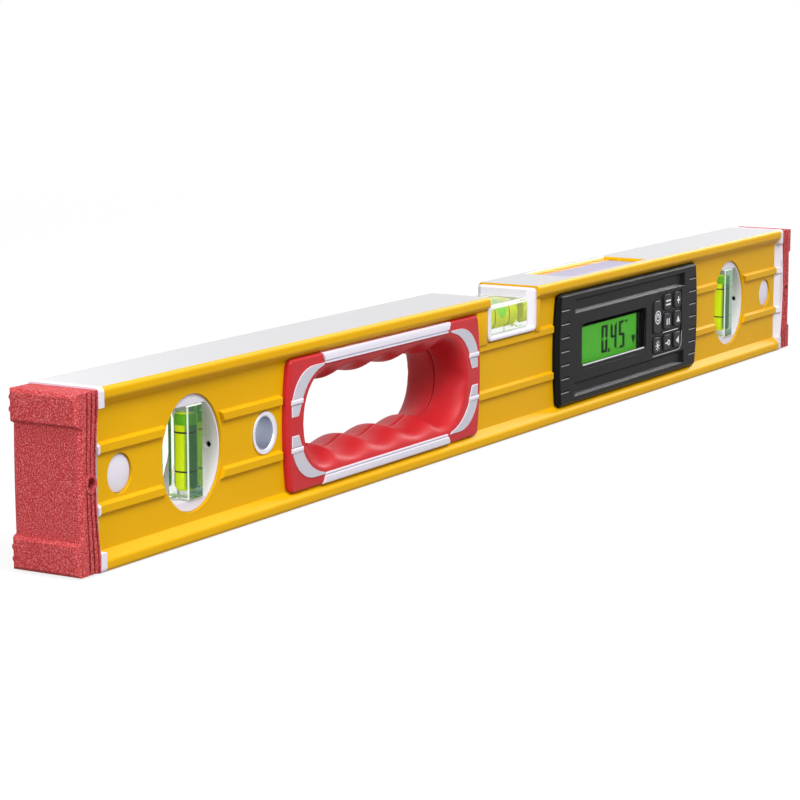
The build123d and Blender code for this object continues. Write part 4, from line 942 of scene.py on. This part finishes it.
def makeBorders(look):
    bm = bmesh.new()
    for left, right in look["spans"]:
        outline = oblong(left, right, look["low"], look["high"])
        raiseOutline(bm, outline, look["backY"], look["frontY"], look["edgeRound"])
    copied = bmesh.ops.duplicate(bm, geom=bm.verts[:] + bm.edges[:] + bm.faces[:])["geom"]
    rear = [part for part in copied if isinstance(part, bmesh.types.BMVert)]
    bmesh.ops.scale(bm, vec=(1, -1, 1), verts=rear)
    for face in bm.faces:
        face.smooth = True
    finishMarks(bm, "notchBorders", "profileCoat", "profile")


def makeCollarRibs(look, name, node, end):
    bm = bmesh.new()
    for side in (-1, 1):
        for height in look["heights"]:
            for vert in bmesh.ops.create_cube(bm, size=2)["verts"]:
                far, out, up = vert.co.x > 0, vert.co.y > 0, vert.co.z
                reach = look["end"] if far else look["start"]
                depth = (look["endY"] if far else look["startY"]) if out else look["backY"]
                tall = look["crest"] if out else look["foot"]
                vert.co = Vector((end * reach, side * depth, height + up * tall)) * mm
    finishMarks(bm, name, "whitePlastic", node)


makeBorders(borderLook)
makeCollarRibs(collarRibLook, "collarRibsLeft", "end_plug_left", -1)
makeCollarRibs(collarRibLook, "collarRibsRight", "end_plug_right", 1)
print("borders and collar ribs made")


# Plain signs on the keys: rings, bars, a cross, a triangle, a sun and a horn
def ringOutlines(x, z, outer, inner, parts=4, steps=6):
    pieces = []
    for part in range(parts):
        start, end = 360 * part / parts, 360 * (part + 1) / parts
        pieces.append(arc(x, z, outer, start, end, steps) + arc(x, z, inner, end, start, steps))
    return pieces


def sunOutlines(radius, near, far, half, rays=8):
    outlines = [roundOutline(0, 0, radius)]
    for i in range(rays):
        c, s = math.cos(2 * math.pi * i / rays), math.sin(2 * math.pi * i / rays)
        outlines.append([(x * c - z * s, x * s + z * c) for x, z in oblong(near, far, -half, half)])
    return outlines


signLook = dict(backY=14.8, frontY=14.98, shiftX=0.5, shiftZ=-0.3)
signShapes = {  # mm from the middle of the sign
    "key_power": [*ringOutlines(0, 0, 3.2, 2.65), *ringOutlines(0, 0, 1.9, 1.35),
                  oblong(-0.3, 0.3, -0.2, 1.2)],
    "key_mode": [oblong(-2.6, 2.6, 0.5, 1.3), oblong(-2.6, 2.6, -1.3, -0.5)],
    "key_calibrate": [oblong(-1.7, 1.7, -0.4, 0.4), oblong(-0.4, 0.4, 0.4, 1.7),
                      oblong(-0.4, 0.4, -1.7, -0.4)],
    "key_hold": [oblong(-1.6, -0.6, -1.5, 1.5), oblong(0.6, 1.6, -1.5, 1.5)],
    "key_reference": [[(-1.9, -1.4), (1.9, -1.4), (0, 1.6)]],
    "key_light": sunOutlines(1.0, 1.4, 2.4, 0.24),
    "key_sound": [*ringOutlines(1.0, 0, 1.4, 0.7), oblong(-2.6, -0.3, -0.35, 0.35)],
    "key_tone": [oblong(-1.7, -0.7, -0.7, 0.7), [(-0.7, -0.7), (1.0, -1.9), (1.0, 1.9), (-0.7, 0.7)]],
}


def makeSign(look, node, outlines):
    low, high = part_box(node)
    midX = (low[0] + high[0]) / 2 / mm + look["shiftX"]
    midZ = (low[2] + high[2]) / 2 / mm + look["shiftZ"]
    moved = [[(midX + x, midZ + z) for x, z in outline] for outline in outlines]
    rows = [(outline, look["backY"], look["frontY"]) for outline in moved]
    makeRaised("sign_" + node, "markInk", node, rows)


for keyNode in sorted(signShapes):
    makeSign(signLook, keyNode, signShapes[keyNode])
print("display and key marks made")


# Camera, lamps and the pale surround
cameraView = dict(place=(-0.9825, -0.5374, 0.2047), yaw=30.56, pitch=9.62, lens=118.9, sensor=36.0,
                  clipEnd=50)
lampPlan = {
    "keyLamp": dict(place=(-0.35, -0.9, 1.25), aim=(0.0, 0.0, 0.03), size=0.8, power=23),
    "endLamp": dict(place=(-1.5, -0.2, 0.9), aim=(-0.3, 0.0, 0.03), size=0.7, power=15),
    "farLamp": dict(place=(1.45, -0.05, 0.7), aim=(0.0, 0.0, 0.03), size=0.4, power=12),
    "backLamp": dict(place=(0.4, 1.2, 1.0), aim=(0.0, 0.0, 0.03), size=1.8, power=4.5),
}
white = (1.0, 1.0, 1.0, 1.0)
worldLook = dict(fill=(0.95, 0.96, 1.0, 1.0), fillStrength=0.27)
floorLook = dict(size=12, drop=0.0002, seen=0.92, bounce=0.28, glowShare=0.86, fadeStart=0.4, fadeEnd=1.3)


def makeCamera(view):
    camera = addObject("photoCamera", bpy.data.cameras.new("photoCamera"))
    camera.location = view["place"]
    camera.rotation_euler = (math.radians(90 - view["pitch"]), 0, math.radians(view["yaw"] - 90))
    camera.data.lens = view["lens"]
    camera.data.sensor_width = view["sensor"]
    camera.data.clip_end = view["clipEnd"]
    bpy.context.scene.camera = camera


def makeLamp(name, plan):
    light = bpy.data.lights.new(name, "AREA")
    light.size = plan["size"]
    light.energy = plan["power"]
    lamp = addObject(name, light)
    lamp.location = plan["place"]
    towards = Vector(plan["aim"]) - Vector(plan["place"])
    lamp.rotation_euler = towards.to_track_quat("-Z", "Y").to_euler()


def bareTree(owner):
    owner.use_nodes = True
    owner.node_tree.nodes.clear()
    return owner.node_tree


# One where the camera sees a surface, straight, mirrored or through glass
def seenDirectly(tree):
    path = addNode(tree, "ShaderNodeLightPath")
    first = addNode(tree, "ShaderNodeMath", operation="MAXIMUM")
    second = addNode(tree, "ShaderNodeMath", operation="MAXIMUM")
    wireUp(tree, (path, "Is Camera Ray", first, 0), (path, "Is Glossy Ray", first, 1),
           (first, "Value", second, 0), (path, "Is Transmission Ray", second, 1))
    return second.outputs["Value"]


# Two shaders mixed by a share, out to the surface
def mixOut(tree, kind, share, first, second):
    mix = addNode(tree, "ShaderNodeMixShader")
    out = addNode(tree, kind)
    tree.links.new(share, mix.inputs["Fac"])
    tree.links.new(first, mix.inputs[1])
    tree.links.new(second, mix.inputs[2])
    wireUp(tree, (mix, "Shader", out, "Surface"))


def makeWorld(look):
    world = bpy.data.worlds.new("paleStudio")
    bpy.context.scene.world = world
    tree = bareTree(world)
    fill = addNode(tree, "ShaderNodeBackground", {"Color": look["fill"], "Strength": look["fillStrength"]})
    pale = addNode(tree, "ShaderNodeBackground", {"Color": white, "Strength": 1.0})
    mixOut(tree, "ShaderNodeOutputWorld", seenDirectly(tree), fill.outputs["Background"],
           pale.outputs["Background"])


# The floor glows where it is seen, more so far from the level, and bounces little light
def makeFloorFinish(look):
    material = bpy.data.materials.new("paleFloor")
    tree = bareTree(material)
    seen = seenDirectly(tree)
    tone = addNode(tree, "ShaderNodeMapRange", {"To Min": look["bounce"], "To Max": look["seen"]})
    matt = addNode(tree, "ShaderNodeBsdfDiffuse")
    glow = addNode(tree, "ShaderNodeEmission", {"Color": white, "Strength": 1.0})
    place = addNode(tree, "ShaderNodeTexCoord")
    away = addNode(tree, "ShaderNodeVectorMath", operation="LENGTH")
    fade = addNode(tree, "ShaderNodeMapRange", {"From Min": look["fadeStart"], "From Max": look["fadeEnd"],
                                                "To Min": look["glowShare"], "To Max": 1.0})
    share = addNode(tree, "ShaderNodeMath", operation="MULTIPLY")
    tree.links.new(seen, tone.inputs["Value"])
    tree.links.new(seen, share.inputs[0])
    wireUp(tree, (tone, "Result", matt, "Color"), (place, "Object", away, 0), (away, "Value", fade, "Value"),
           (fade, "Result", share, 1))
    mixOut(tree, "ShaderNodeOutputMaterial", share.outputs["Value"], matt.outputs["BSDF"],
           glow.outputs["Emission"])
    return material


def makeFloor(look):
    bm = bmesh.new()
    bmesh.ops.create_grid(bm, x_segments=1, y_segments=1, size=look["size"])
    bmesh.ops.translate(bm, verts=bm.verts, vec=(0, 0, cadBox[0][2] - look["drop"]))
    materials["paleFloor"] = makeFloorFinish(look)
    floor = addMesh(bm, "paleFloor", ["paleFloor"])


makeCamera(cameraView)
for lampName, lampLook in lampPlan.items():
    makeLamp(lampName, lampLook)
makeWorld(worldLook)
makeFloor(floorLook)
bpy.context.scene.view_settings.view_transform = "Standard"
print("camera, lamps and surround made")
